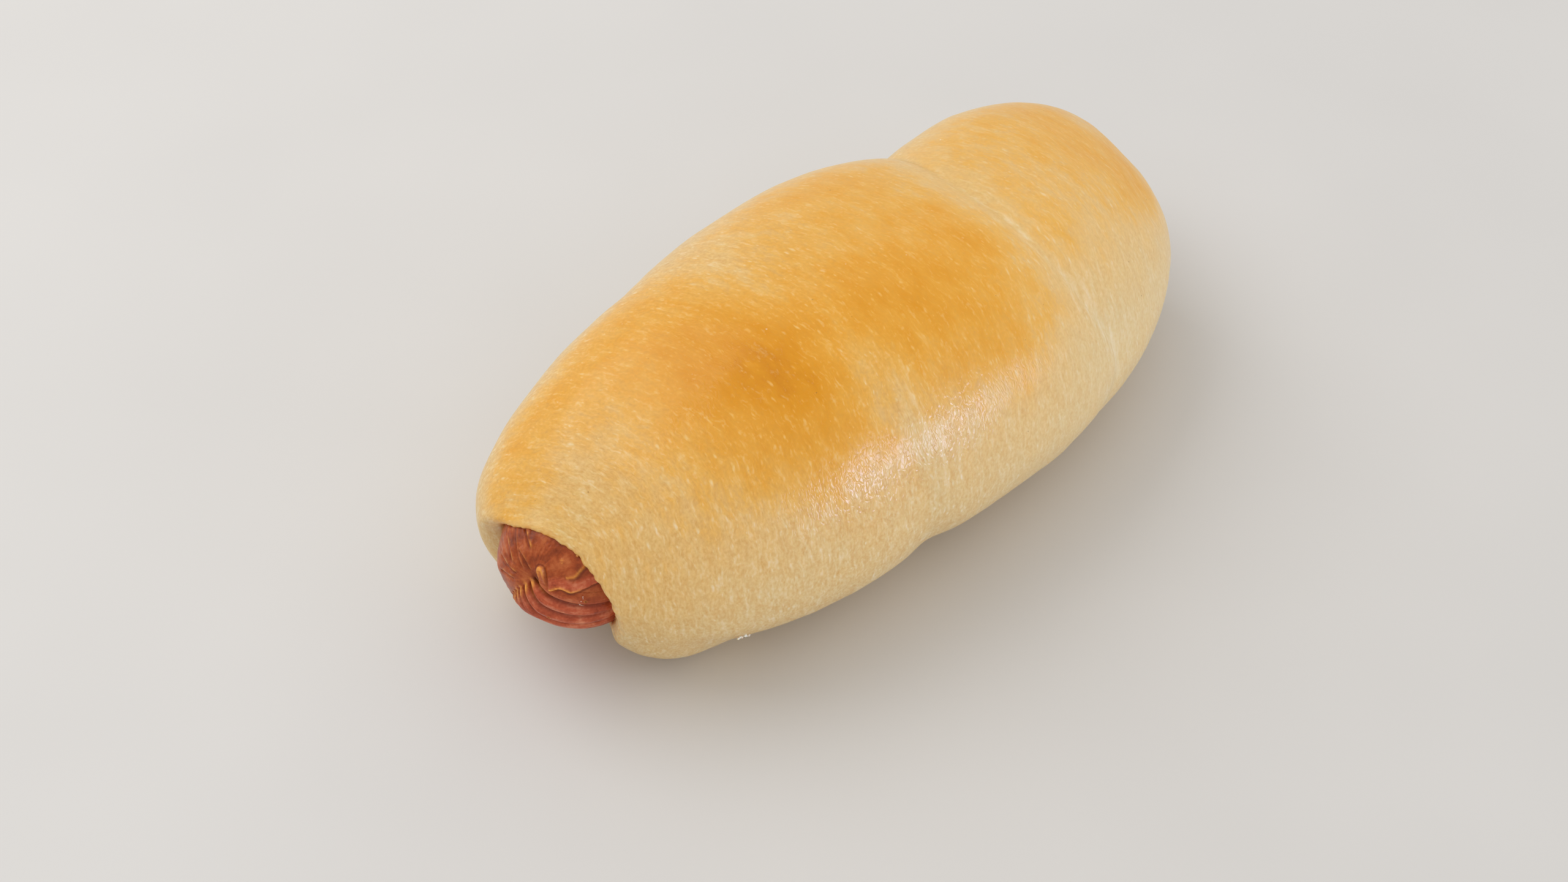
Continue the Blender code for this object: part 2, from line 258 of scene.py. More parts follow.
def axis_radius(x, extra=0.0):
    """Radius of the plain sausage at x, where extra is a layer round it."""
    tip_length = SAUSAGE_RADIUS * TIP_SHARE
    past = np.maximum(SAUSAGE_FRONT + tip_length - x, x - (SAUSAGE_REAR - tip_length))
    past = np.maximum(past, 0) / TIP_SHARE
    return np.sqrt(np.maximum((SAUSAGE_RADIUS + extra) ** 2 - past**2, 0))


def sausage_field(points, extra=0.0):
    """1 on the plain sausage's surface, or on a layer round it, and less inside."""
    tip_length = SAUSAGE_RADIUS * TIP_SHARE
    before = np.minimum(points[..., 0] - (SAUSAGE_FRONT + tip_length), 0)
    after = np.maximum(points[..., 0] - (SAUSAGE_REAR - tip_length), 0)
    off = points - axis_point(points[..., 0])
    off[..., 0] = (before + after) / TIP_SHARE
    return np.linalg.norm(off, axis=-1) / (SAUSAGE_RADIUS + extra)


def reach(start, direction, field):
    """How far each line runs from its start to the field's surface, or to the table."""
    near = np.zeros(direction.shape[:-1])
    far = np.full(direction.shape[:-1], FARTHEST)
    for _ in range(HALVINGS):
        middle = (near + far) / 2
        inside = field(start + direction * middle[..., None]) < 1
        near = np.where(inside, middle, near)
        far = np.where(inside, far, middle)
    falling = np.maximum(-direction[..., 2], LEAST_FALL)
    return np.minimum(far, start[..., 2] / falling)


def square_to_x(angle):
    """Directions square to X at some angles: 0 is +Y and a quarter turn is up."""
    return np.stack([np.zeros_like(angle), np.cos(angle), np.sin(angle)], axis=-1)


def round_directions(count):
    """Angles all the way round, and the direction at each."""
    angle = np.linspace(0, 2 * np.pi, count, endpoint=False)
    return angle, square_to_x(angle)


print("lines end to within, mm:", round(1000 * FARTHEST / 2**HALVINGS, 5))

# %% [markdown]
# ## The lips
# Where the dough ends on the sausage it thins to a soft rolled lip. On the near side the lip was pulled
# thin and fat ran along it, so its edge is ragged. The raggedness is a few waves with whole numbers of
# periods round the opening, so that the edge closes on itself, and it is strongest on the near side.

# %% The lips
FRONT_LIP = {"x": -0.0645, "top": -0.0027, "side": -0.0006, "under": 0.0028, "roll": 0.0012}
REAR_LIP = {"x": 0.0594, "top": -0.0002, "side": 0.0004, "under": 0.0, "roll": 0.0022}
LIP_ROLL_SHARE = 0.12       # what the dough's thickness adds to the width of a lip's rounding
LIP_LEAST = 0.0009          # least thickness of the dough over the sausage
LIP_SOFT = 0.0006           # how softly the dough's own thickness turns into that
RAGGED_WAVES = (            # how many of each wave go round the opening, where it starts, and its size
    (7, 0.4, 0.00008), (17, 2.1, 0.00006), (29, 5.0, 0.00007), (47, 1.3, 0.00006), (61, 3.3, 0.00005),
)
RAGGED_PLACE = math.radians(165)
RAGGED_WIDTH = math.radians(55)
RAGGED_LEAST = 0.2          # share of the raggedness that the far side has too
LIP_STRAY = (               # degrees round the axis, and how far the lip strays along the bun there, in mm
    (0, 0.0), (40, -0.6), (60, -0.7), (80, -0.08), (95, 0.32), (110, 0.55), (128, 0.90), (145, 0.72),
    (160, 0.92), (172, 1.0), (185, 0.85), (197, 0.35), (208, -0.55), (222, -0.85), (250, -0.20), (360, 0.0),
)
RING_CROWDING = 1.4         # above 1, the rings stand closer together towards the lip
FRONT_HUB = -0.044          # where the fans of lines that find each end's surface start
REAR_HUB = 0.042


def ragged(angle):
    """How far the lip's edge strays along the bun."""
    off = (angle - RAGGED_PLACE + np.pi) % (2 * np.pi) - np.pi
    strength = RAGGED_LEAST + bell(off, RAGGED_WIDTH)
    stray = strength * sum(size * np.sin(count * angle + start) for count, start, size in RAGGED_WAVES)
    return stray + np.interp(np.degrees(angle), *zip(*LIP_STRAY)) / 1000


def lip_line(lip, angle, ring):
    """Where a lip meets the layer round the sausage."""
    x = lip["x"] + lip["top"] * np.sin(angle) + lip["side"] * np.cos(angle)
    x = x + lip["under"] * np.maximum(-np.sin(angle), 0) ** 2 + (ragged(angle) if lip is FRONT_LIP else 0)
    return axis_point(x) + ring * axis_radius(x, LIP_GAP)[:, None]


def lip_rings(lip, hub_x, angle, ring, steps):
    """Rings from a lip's edge up its rounding and over the end of the bun, to the hub's own ring."""
    hub = axis_point(np.full(len(angle), hub_x))
    edge = lip_line(lip, angle, ring) - hub
    edge /= np.linalg.norm(edge, axis=1, keepdims=True)
    opening = np.arccos(np.sum(edge * ring, axis=1))
    swing = opening * (np.linspace(0, 1, steps + 1)[:-1, None] ** RING_CROWDING)
    direction = np.sin(opening - swing)[..., None] * edge + np.sin(swing)[..., None] * ring
    direction /= np.sin(opening)[:, None]
    inner = reach(hub, direction, lambda points: sausage_field(points, LIP_GAP))
    dough = reach(hub, direction, dough_field) - inner
    thickness = (dough + LIP_LEAST + np.hypot(dough - LIP_LEAST, LIP_SOFT)) / 2
    rounding = np.clip(swing * inner / (lip["roll"] + LIP_ROLL_SHARE * thickness), 0, 1)
    rise = np.sqrt(1 - (1 - rounding) ** 2)
    return hub + direction * (inner + thickness * rise)[..., None]


# %% Rings of the whole dough
BUN_ROUND = 280
LIP_STEPS = 56
MIDDLE_STEPS = 190
BORE_STEPS = 8
BORE_MOUTH = 0.0100         # length of the bore's mouth, which follows the sausage's round end
BORE_GAP = 0.0003
BODY_FRONT = -0.0500        # stretch where the sausage and the bore are plain
BODY_REAR = 0.0450

round_angle, round_ring = round_directions(BUN_ROUND)
front_rings = lip_rings(FRONT_LIP, FRONT_HUB, round_angle, round_ring, LIP_STEPS)
rear_rings = lip_rings(REAR_LIP, REAR_HUB, round_angle, round_ring, LIP_STEPS)
middle_x = np.linspace(FRONT_HUB, REAR_HUB, MIDDLE_STEPS + 1)
middle_start = np.repeat(axis_point(middle_x)[:, None], BUN_ROUND, axis=1)
middle_ring = np.broadcast_to(round_ring, middle_start.shape)
middle_rings = middle_start + middle_ring * reach(middle_start, middle_ring, dough_field)[..., None]
outside = np.concatenate([front_rings, middle_rings, rear_rings[::-1]])
outside[..., 2] = np.maximum(outside[..., 2], 0)

mouth = np.linspace(0, BORE_MOUTH, BORE_STEPS + 1)[1:, None]
bore_x = np.concatenate([
    rear_rings[0][:, 0] - mouth,
    np.repeat(np.linspace(BODY_REAR, BODY_FRONT, BORE_STEPS)[:, None], BUN_ROUND, axis=1),
    front_rings[0][:, 0] + mouth[::-1],
])
bore = axis_point(bore_x) + round_ring * axis_radius(bore_x, BORE_GAP)[..., None]
print("rings outside and inside:", len(outside), len(bore))

# %% [markdown]
# ## How the oven coloured it
# Dough browns where it is hot and dry: on top, and most on the crowns. The sides stay cream because the
# tray's edge and their own swelling shade them, and the skin beside a crease stays pale because it
# stretched late. So browning is one number for each point, worked out from where the point lies round
# the bun and along it: a top that fades down both sides, and soft round patches on it. Painting it by
# hand would work too, but rules can be read and changed.

# %% Browning
PALE = 0.06                 # browning of the shaded sides
TOP = 0.36                  # browning of the top, before the patches
NEAR_EDGE = (               # x in millimetres, and degrees round the axis where the near side has half faded
    (-62, 178), (-50, 161), (-40, 162), (-26, 167), (-10, 158), (2, 159), (14, 148), (26, 144), (40, 149),
    (56, 162),
)
FAR_EDGE = ((-66, 21), (-52, 37), (40, 37), (54, 32))       # the same for the far side
NEAR_SOFT, FAR_SOFT = 50, 38        # degrees over which each side fades
# Warmer or paler places: x in millimetres, angle in degrees, their half widths, and the change
PATCHES = (
    (-30, 119, 17, 33, 0.54),       # crown of the front turn
    (-38, 73, 18, 45, 0.28),
    (-37, 96, 10, 15, 0.10),
    (-9, 114, 10, 25, 0.22),        # crown of the middle turn
    (9, 128, 18, 45, 0.45),
    (2, 41, 16, 40, 0.24),          # far shoulder
    (53, 135, 8, 42, 0.26),         # end of the rear turn
    (50, 75, 6, 30, 0.12),
    (-59, 50, 11, 45, 0.20),
    (-22, 60, 7, 42, -0.14),        # soft crease
    (-20, 137, 4, 30, -0.16),
    (-21, 127, 5, 13, -0.22),
    (20, 93, 6, 45, -0.20),         # sharp crease
    (12, 128, 11, 15, -0.22),
    (40, 83, 18, 45, 0.18),         # rear turn
    (32, 100, 7, 25, -0.14),
    (-60, 135, 8, 30, -0.05),
    # paler here: partly pale crust, partly a painted sheen of the light on the front hood
    (-57, 86, 8, 25, -0.18),        # where the front hood thins over the sausage
)


def browning_of(points, angle):
    """How brown the crust is at each point, from 0 for cream to 1 for brown."""
    degrees = np.degrees(angle)
    along = 1000 * points[..., 0]
    near_edge = np.interp(along, *zip(*NEAR_EDGE))
    top = smooth_step((near_edge - degrees) / NEAR_SOFT + 0.5)
    top = top * smooth_step((degrees - np.interp(along, *zip(*FAR_EDGE))) / FAR_SOFT + 0.5)
    brown = TOP
    for x, place, half_length, half_turn, change in PATCHES:
        brown = brown + change * bell(along - x, half_length) * bell(degrees - place, half_turn)
    return PALE + (brown - PALE) * top


brownest = TOP + max(patch[4] for patch in PATCHES)
print("browning, sides, top and brownest patch:", PALE, TOP, round(brownest, 2))

# %% Stretched and buttered skin
# The pale skin behind the soft crease, by how far one turn's field lies above the next: where it starts
# and ends, and over how much it comes and goes
PALE_FROM, PALE_AFTER, PALE_RISE, PALE_SOFT = 0.008, 0.150, 0.020, 0.110
SHARP_STRETCH = 0.050       # half width of the pale skin on both sides of the sharp crease
SHARP_SHARE = 0.7           # how pale it is beside the other
SEAM_WIDTH = 0.010          # half width of the fine pale line in it
SEAM_LEAST = 0.25           # what is left of that line low on the flank
SEAM_FADES = (150, 28)      # degrees where that is reached, and over how many
FLANK = ((118, 26), (182, 22))          # degrees where the first begins and ends, and over how many
REAR_FLANK = ((70, 40), (190, 20))      # the same for the skin beside the sharp crease
# Where butter lies thick: x in millimetres, angle in degrees, half widths, amount
BUTTERED = (
    (-29, 157, 8, 13, 1.0), (-11, 150, 7, 14, 0.9), (-45, 128, 10, 26, 0.35), (8, 140, 12, 20, 0.1),
)


def band(value, begin, end):
    """1 between two marks, each given with the distance over which it is reached or left."""
    return smooth_step((value - begin[0]) / begin[1]) * smooth_step((end[0] - value) / end[1])


def stretched_of(points, angle):
    """Where the skin was stretched late, and the fine line at the bottom of the sharp crease."""
    degrees = np.degrees(angle)
    front, middle, rear = three_turns(points)
    behind = band(front - middle, (PALE_FROM, PALE_RISE), (PALE_AFTER, PALE_SOFT))
    rear_flank = band(degrees, *REAR_FLANK)
    stretched = behind * band(degrees, *FLANK) + SHARP_SHARE * bell(middle - rear, SHARP_STRETCH) * rear_flank
    strength = SEAM_LEAST + (1 - SEAM_LEAST) * smooth_step((SEAM_FADES[0] - degrees) / SEAM_FADES[1])
    return np.minimum(stretched, 1), bell(middle - rear, SEAM_WIDTH) * rear_flank * strength


def butter_of(points, angle):
    """How thick the butter lies, from 0 to 1."""
    along, degrees = 1000 * points[..., 0], np.degrees(angle)
    butter = sum(
        amount * bell(along - x, half_length) * bell(degrees - place, half_turn)
        for x, place, half_length, half_turn, amount in BUTTERED
    )
    return np.minimum(butter, 1)


print("places with thick butter:", len(BUTTERED))

# %% [markdown]
# ## A mesh from the rings
# Each point keeps what later steps ask for: its browning, whether it shows, and its place on the skin.
# That place is the distance walked along the bun with the real offsets across and up, so a pattern drawn
# on it neither stretches over the round ends nor has a seam.

# %% Mesh from rings
def mesh_of_rings(name, rings, tips, attributes):
    """A closed mesh from rings: a tube that closes on itself, or one that two tips close."""
    count, size = rings.shape[:2]
    index = np.arange(count * size).reshape(count, size)
    first = index if tips is None else index[:-1]
    second = np.roll(index, -1, axis=0) if tips is None else index[1:]
    quads = np.stack([np.roll(first, 1, axis=1), first, second, np.roll(second, 1, axis=1)], axis=-1)
    faces = quads.reshape(-1, 4).tolist()
    points = rings.reshape(-1, 3)
    if tips is not None:
        for tip, loop in ((0, index[0]), (1, index[-1])):
            faces += [(int(loop[here - 1]), int(loop[here]), count * size + tip) for here in range(size)]
        points = np.concatenate([points, tips])
    mesh = bpy.data.meshes.new(name)
    mesh.from_pydata((points + SHIFT).tolist(), [], faces)
    shape = bmesh.new()
    shape.from_mesh(mesh)
    bmesh.ops.recalc_face_normals(shape, faces=shape.faces)
    shape.to_mesh(mesh)
    shape.free()
    mesh.shade_smooth()
    for key, values in attributes.items():
        kind = "FLOAT_VECTOR" if values.ndim == 3 else "FLOAT"
        flat = values.reshape(-1, 3) if values.ndim == 3 else values.reshape(-1)
        if tips is not None:
            flat = np.concatenate([flat, flat[:1], flat[-1:]])
        layer = mesh.attributes.new(key, kind, "POINT")
        layer.data.foreach_set("vector" if values.ndim == 3 else "value", flat.astype(np.float32).ravel())
    return mesh


# %% The bun's mesh
TABLE_SKIN = 0.0004         # the crust is left alone this close to the table
RELIEF_OVER = 0.002         # distance from the table and the lips over which the relief comes in
SOAKED_WIDTH = 0.0007       # the lip's very edge is soaked with fat

all_rings = np.concatenate([outside, bore])
trim_rear(all_rings)
steps = np.linalg.norm(np.diff(all_rings, axis=0), axis=-1)
walked = np.concatenate([np.zeros((1, BUN_ROUND)), np.cumsum(steps, axis=0)])
place = all_rings - axis_point(all_rings[..., 0])
place[..., 0] = walked
shown = np.zeros(all_rings.shape[:2])
shown[: len(outside)] = smooth_step((outside[..., 2] - TABLE_SKIN) / RELIEF_OVER)
lip_distance = np.minimum(walked, np.abs(walked - walked[len(outside) - 1]))
soaked = np.zeros(all_rings.shape[:2])
soaked[:LIP_STEPS] = bell(walked[:LIP_STEPS], SOAKED_WIDTH)
shown *= smooth_step(lip_distance / RELIEF_OVER)
stretched, seam = stretched_of(all_rings, round_angle)
bun_start = mesh_of_rings("bun_start", all_rings, None, {
    "place": place,
    "browning": browning_of(all_rings, round_angle),
    "shown": shown,
    "stretched": stretched,
    "seam": seam,
    "butter": butter_of(all_rings, round_angle),
    "soaked": soaked,
})
print("bun:", len(bun_start.polygons), "faces")

# %% [markdown]
# ## One helper for nodes
# Geometry trees and materials are both built from nodes, and both are easier to read when a node, its
# settings and its links stand on one line. This helper adds a node: an input given another node's
# output is linked, and an input given a number is set.

# %% Node helper
def add_node(tree, kind, inputs=None, **settings):
    """Adds one node with its settings, its values and its links."""
    made = tree.nodes.new(kind)
    for key, value in settings.items():
        setattr(made, key, value)
    for key, value in (inputs or {}).items():
        if isinstance(value, bpy.types.NodeSocket):
            tree.links.new(value, made.inputs[key])
        else:
            made.inputs[key].default_value = value
    return made


def geometry_tree(name, sizes):
    """An empty tree of Geometry Nodes with one named input for each size."""
    tree = bpy.data.node_groups.new(name, "GeometryNodeTree")
    tree.interface.new_socket("Geometry", in_out="INPUT", socket_type="NodeSocketGeometry")
    tree.interface.new_socket("Geometry", in_out="OUTPUT", socket_type="NodeSocketGeometry")
    tree.interface.new_socket("Material", in_out="INPUT", socket_type="NodeSocketMaterial")
    for key in sizes:
        kind = "NodeSocketInt" if key in ("Seed", "Count") else "NodeSocketFloat"
        tree.interface.new_socket(key, in_out="INPUT", socket_type=kind)
    return tree, add_node(tree, "NodeGroupInput").outputs


def end_tree(tree, inputs, geometry):
    """Realizes what the tree made, gives it its material and hands it out."""
    real = add_node(tree, "GeometryNodeRealizeInstances", {0: geometry})
    dressed = add_node(
        tree, "GeometryNodeSetMaterial", {"Geometry": real.outputs[0], "Material": inputs["Material"]}
    )
    add_node(tree, "NodeGroupOutput", {0: dressed.outputs[0]})


def made_by(tree, name, start, material, sizes):
    """Runs a tree on a mesh or curve and keeps the result as a plain mesh object."""
    worker = bpy.data.objects.new(name + "_worker", start)
    bpy.context.collection.objects.link(worker)
    modifier = worker.modifiers.new(name, "NODES")
    modifier.node_group = tree
    for item in tree.interface.items_tree:
        if item.in_out == "INPUT" and item.name in sizes:
            modifier[item.identifier] = sizes[item.name]
        if item.in_out == "INPUT" and item.name == "Material":
            modifier[item.identifier] = material
    bpy.context.view_layer.update()
    graph = bpy.context.evaluated_depsgraph_get()
    mesh = bpy.data.meshes.new_from_object(
        worker.evaluated_get(graph), preserve_all_data_layers=True, depsgraph=graph
    )
    bpy.data.objects.remove(worker, do_unlink=True)
    mesh.name = name
    piece = bpy.data.objects.new(name, mesh)
    bpy.context.collection.objects.link(piece)
    print(name + ":", len(mesh.polygons), "faces")
    return piece


# %% [markdown]
# ## Colours and patterns in real sizes
# Colours are picked as sRGB hex values, and the shader wants linear ones. Every pattern's scale comes
# from a size in millimetres: in metres, a pattern of one-millimetre cells has a scale of a thousand.

# %% Colour and scale helpers
def linear(code):
    """Linear colour from an sRGB hex value."""
    parts = [int(code[at:at + 2], 16) / 255 for at in (0, 2, 4)]
    return (*[part / 12.92 if part <= 0.04045 else ((part + 0.055) / 1.055) ** 2.4 for part in parts], 1)


def per_mm(size):
    """Scale of a pattern whose cells are this many millimetres across."""
    return 1000 / size


def new_material(name):
    """A material with its shader, and the shader's tree."""
    material = bpy.data.materials.new(name)
    material.use_nodes = True
    return material, material.node_tree, material.node_tree.nodes["Principled BSDF"]


def set_inputs(node, values):
    """Sets a node's own inputs, where a number or colour is the same all over."""
    for key, value in values.items():
        node.inputs[key].default_value = value


def fill_ramp(node, stops):
    """Sets the stops of a colour ramp, each a place from 0 to 1 and a hex colour."""
    elements = node.color_ramp.elements
    while len(elements) < len(stops):
        elements.new(1.0)
    for element, (position, code) in zip(elements, stops):
        element.position = position
        element.color = linear(code)


# %% [markdown]
# ## Crust
# The crust is baked sweet dough brushed with butter: cream where it is pale, gold and then brown where
# it is baked, slightly see-through, with a satin gloss. Its skin was pulled round the bun when the dough
# was rolled, so the small pale flecks and the fine wrinkles lie round the girth. A plain noise would
# look like stone, so the patterns are squeezed across the bun, which draws them out round it. Slow
# clouds change the browning. Fine flecks, wisps and grain don't change the hue much: they are tiny
# bubbles and folds in the skin, so they mix a little cream or a little brown into the colour beneath.

# %% Places on the crust
STRETCH = 0.40              # how much patterns are squeezed round the girth, which draws them out
GRAIN_STRETCH = 0.7         # the fine grain is hardly drawn out
STREAK_STRETCH = 0.10       # the stretched skin's streaks are drawn out further
WISP_STRETCH = 0.22
WARP_MM, WARP = 2.6, 0.0005     # a slow wander of the patterns: its cells, and its size in metres
MIDDLE_GREY = (0.5, 0.5, 0.5)   # the mean of a noise's colour

crust, tree, shader = new_material("buttered_bread_crust")
skin_place = add_node(tree, "ShaderNodeAttribute", attribute_name="place").outputs["Vector"]
own_place = add_node(tree, "ShaderNodeTexCoord").outputs["Object"]
baked, stretched_here, seam_here, soaked_here, butter_here = [
    add_node(tree, "ShaderNodeAttribute", attribute_name=key).outputs["Fac"]
    for key in ("browning", "stretched", "seam", "soaked", "butter")
]
wander = add_node(
    tree, "ShaderNodeTexNoise", {"Vector": own_place, "Scale": per_mm(WARP_MM), "Detail": 2.0}
).outputs["Color"]
centred = add_node(tree, "ShaderNodeVectorMath", {0: wander, 1: MIDDLE_GREY}, operation="SUBTRACT").outputs[0]
warp = add_node(tree, "ShaderNodeVectorMath", {0: centred, "Scale": 2 * WARP}, operation="SCALE").outputs[0]
wandered = add_node(tree, "ShaderNodeVectorMath", {0: skin_place, 1: warp}, operation="ADD").outputs[0]
drawn_out, grain_place, long_place, wisp_place = [
    add_node(tree, "ShaderNodeMapping", {"Vector": wandered, "Scale": (1, stretch, stretch)}).outputs[0]
    for stretch in (STRETCH, GRAIN_STRETCH, STREAK_STRETCH, WISP_STRETCH)
]
print("crust patterns drawn out, times:", [round(1 / s, 1) for s in (STRETCH, STREAK_STRETCH, WISP_STRETCH)])


# %% Spots
SMALLEST_SPOT = 0.4         # as a share of the widest


def spots(tree, vector, spacing, widest, share):
    """Soft spots of uneven size in some cells of a pattern: 1 inside, 0 outside."""
    cells = add_node(
        tree, "ShaderNodeTexVoronoi", {"Vector": vector, "Scale": per_mm(spacing), "Randomness": 1.0}
    )
    chance = add_node(tree, "ShaderNodeSeparateColor", {0: cells.outputs["Color"]}).outputs
    radius = add_node(
        tree, "ShaderNodeMapRange",
        {
            "Value": chance[0], "From Min": 1 - share, "From Max": 1.0,
            "To Min": SMALLEST_SPOT * widest, "To Max": widest,
        },
    ).outputs[0]
    spot = add_node(
        tree, "ShaderNodeMapRange",
        {
            "Value": cells.outputs["Distance"], "From Min": 0.0, "From Max": radius,
            "To Min": 1.0, "To Max": 0.0,
        },
        interpolation_type="SMOOTHSTEP",
    ).outputs[0]
    return add_node(tree, "ShaderNodeMath", {0: spot, 1: chance[1]}, operation="MULTIPLY").outputs[0]


# %% Adding, masking and laying over
def stirred(tree, *parts):
    """Sum of patterns, each given as its value, its middle and the size of its share."""
    total = -sum(middle * size for _, middle, size in parts)
    for value, _, size in parts:
        total = add_node(
            tree, "ShaderNodeMath", {0: value, 1: size, 2: total}, operation="MULTIPLY_ADD"
        ).outputs[0]
    return total


def masked(tree, value, mask, marks, shares=(0.0, 1.0)):
    """A value times a share that goes from one to another while a mask goes from mark to mark."""
    share = add_node(
        tree, "ShaderNodeMapRange",
        {"Value": mask, "From Min": marks[0], "From Max": marks[1], "To Min": shares[0], "To Max": shares[1]},
    ).outputs[0]
    return add_node(tree, "ShaderNodeMath", {0: value, 1: share}, operation="MULTIPLY").outputs[0]


def laid_over(tree, ground, *layers):
    """A ground under layers of colour. A value, its marks and a most say where each layer covers."""
    for value, marks, most, colour in layers:
        share = add_node(
            tree, "ShaderNodeMapRange",
            {"Value": value, "From Min": marks[0], "From Max": marks[1], "To Max": most},
        ).outputs[0]
        ground = add_node(
            tree, "ShaderNodeMix", {"Factor": share, "A": ground, "B": colour}, data_type="RGBA"
        ).outputs["Result"]
    return ground


WHOLE = (0.0, 1.0)          # marks of a value that is a share already

# %% Flecks, clouds and streaks
FLECK_MM, SMALL_FLECK_MM = 0.90, 0.50   # distances between pale flecks, across the grain
CLOUD_MM, MOTTLE_MM, STREAK_MM, GRAIN_MM, WISP_MM = 7.0, 2.2, 0.9, 0.42, 0.62
SEAM_PATCH_MM, SOAKED_PATCH_MM = 4.0, 1.6       # the pale seam and the soaked edge come and go over these

flecks = spots(tree, drawn_out, FLECK_MM, 0.46, 0.85)
small_flecks = spots(tree, drawn_out, SMALL_FLECK_MM, 0.50, 0.80)
cloud, mottle, streak, grain, long_streak, wisp_noise, seam_patches, soaked_patches = [
    add_node(
        tree, "ShaderNodeTexNoise", {"Vector": where, "Scale": per_mm(size), "Detail": detail}
    ).outputs[0]
    for where, size, detail in (
        (own_place, CLOUD_MM, 3.0), (drawn_out, MOTTLE_MM, 3.0), (drawn_out, STREAK_MM, 3.0),
        (grain_place, GRAIN_MM, 3.0), (long_place, STREAK_MM, 2.0), (wisp_place, WISP_MM, 3.0),
        (own_place, SEAM_PATCH_MM, 2.0), (own_place, SOAKED_PATCH_MM, 2.0),
    )
]
wisps = add_node(
    tree, "ShaderNodeMapRange", {"Value": wisp_noise, "From Min": 0.52, "From Max": 0.74}
).outputs[0]
pale_streaks = masked(tree, stretched_here, long_streak, (0.45, 0.68))
broken_seam = masked(tree, seam_here, seam_patches, (0.50, 0.64))
print("finest pattern of the crust, mm:", min(SMALL_FLECK_MM, GRAIN_MM, WISP_MM))

# %% Browning of the crust
LOWEST, HIGHEST = -0.40, 1.20       # browning at the two ends of the colour ramp
CRUST_STOPS = (
    (-0.40, "EBD4A4"), (0.05, "DFC288"), (0.38, "E7BE77"), (0.55, "EAB355"), (0.75, "E8A638"),
    (1.00, "E09616"), (1.20, "D28508"),
)
uneven = stirred(
    tree, (cloud, 0.5, 0.26), (mottle, 0.5, 0.40), (streak, 0.5, 0.30), (grain, 0.5, 0.24),
    (flecks, 0.14, -0.14), (small_flecks, 0.16, -0.10),
)
uneven = masked(tree, uneven, baked, (0.05, 0.50), (0.4, 1.0))
brown_here = stirred(
    tree, (baked, 0.0, 1.0), (uneven, 0.0, 1.0), (stretched_here, 0.0, -0.10), (seam_here, 0.0, -0.08)
)
ramp_place = add_node(
    tree, "ShaderNodeMapRange", {"Value": brown_here, "From Min": LOWEST, "From Max": HIGHEST}
).outputs[0]
crust_ramp = add_node(tree, "ShaderNodeValToRGB", {0: ramp_place})
fill_ramp(
    crust_ramp, [((brown - LOWEST) / (HIGHEST - LOWEST), code) for brown, code in CRUST_STOPS]
)
print("crust tones from cream to brown:", len(CRUST_STOPS))

# %% Fine texture of the crust
# The texture is fainter where the crust is brown, and on the two turns behind, as the photograph shows it.
uneven_flecks = masked(tree, stirred(tree, (flecks, 0.08, 0.34)), cloud, (0.38, 0.62), (0.5, 1.5))
fine = stirred(
    tree, (uneven_flecks, 0.0, 1.0), (small_flecks, 0.10, 0.26), (wisps, 0.16, 0.26), (grain, 0.5, 0.80),
    (streak, 0.5, 0.50),
)
along = add_node(tree, "ShaderNodeSeparateXYZ", {0: own_place}).outputs["X"]
faint = masked(tree, masked(tree, fine, baked, (0.3, 1.0), (1.0, 0.65)), along, (-0.025, 0.020), (1.0, 0.60))
fine = stirred(tree, (faint, 0.0, 1.0), (pale_streaks, 0.0, 0.28), (broken_seam, 0.0, 0.30))
print("crust:", len(tree.nodes), "nodes")

# %% Colour of the crust
DARK_SPECK_MM, PALE_SPECK_MM = 3.2, 3.8
CREAM, GOLDEN_CREAM, TOASTED = "FAEFD4", "FFF0AC", "CA8410"     # light and dark sides of the fine texture
DARK_SPECK, PALE_SPECK, SOAKED = "8A5A2A", "FFF3DA", "D8801E"

dark_specks = spots(tree, own_place, DARK_SPECK_MM, 0.065, 0.8)
pale_specks = spots(tree, skin_place, PALE_SPECK_MM, 0.060, 0.6)
soaked_share = masked(tree, soaked_here, soaked_patches, (0.38, 0.60), (0.15, 0.9))
light_tone = laid_over(tree, linear(CREAM), (baked, (0.35, 0.80), 1.0, linear(GOLDEN_CREAM)))
crust_colour = laid_over(
    tree, crust_ramp.outputs[0],
    (fine, (0.0, 0.6), 0.6, light_tone),
    (fine, (0.0, -0.4), 0.6, linear(TOASTED)),
    (dark_specks, WHOLE, 1.0, linear(DARK_SPECK)),
    (pale_specks, WHOLE, 1.0, linear(PALE_SPECK)),
    (soaked_share, WHOLE, 1.0, linear(SOAKED)),
)
tree.links.new(crust_colour, shader.inputs["Base Color"])

# %% Gloss and relief of the crust
WRINKLE_MM, NET_MM = 0.50, 0.50     # fine wrinkles, and the net of cracks that thick butter shows
SKIN_BUMP = 0.00010                 # metres for a height of 1

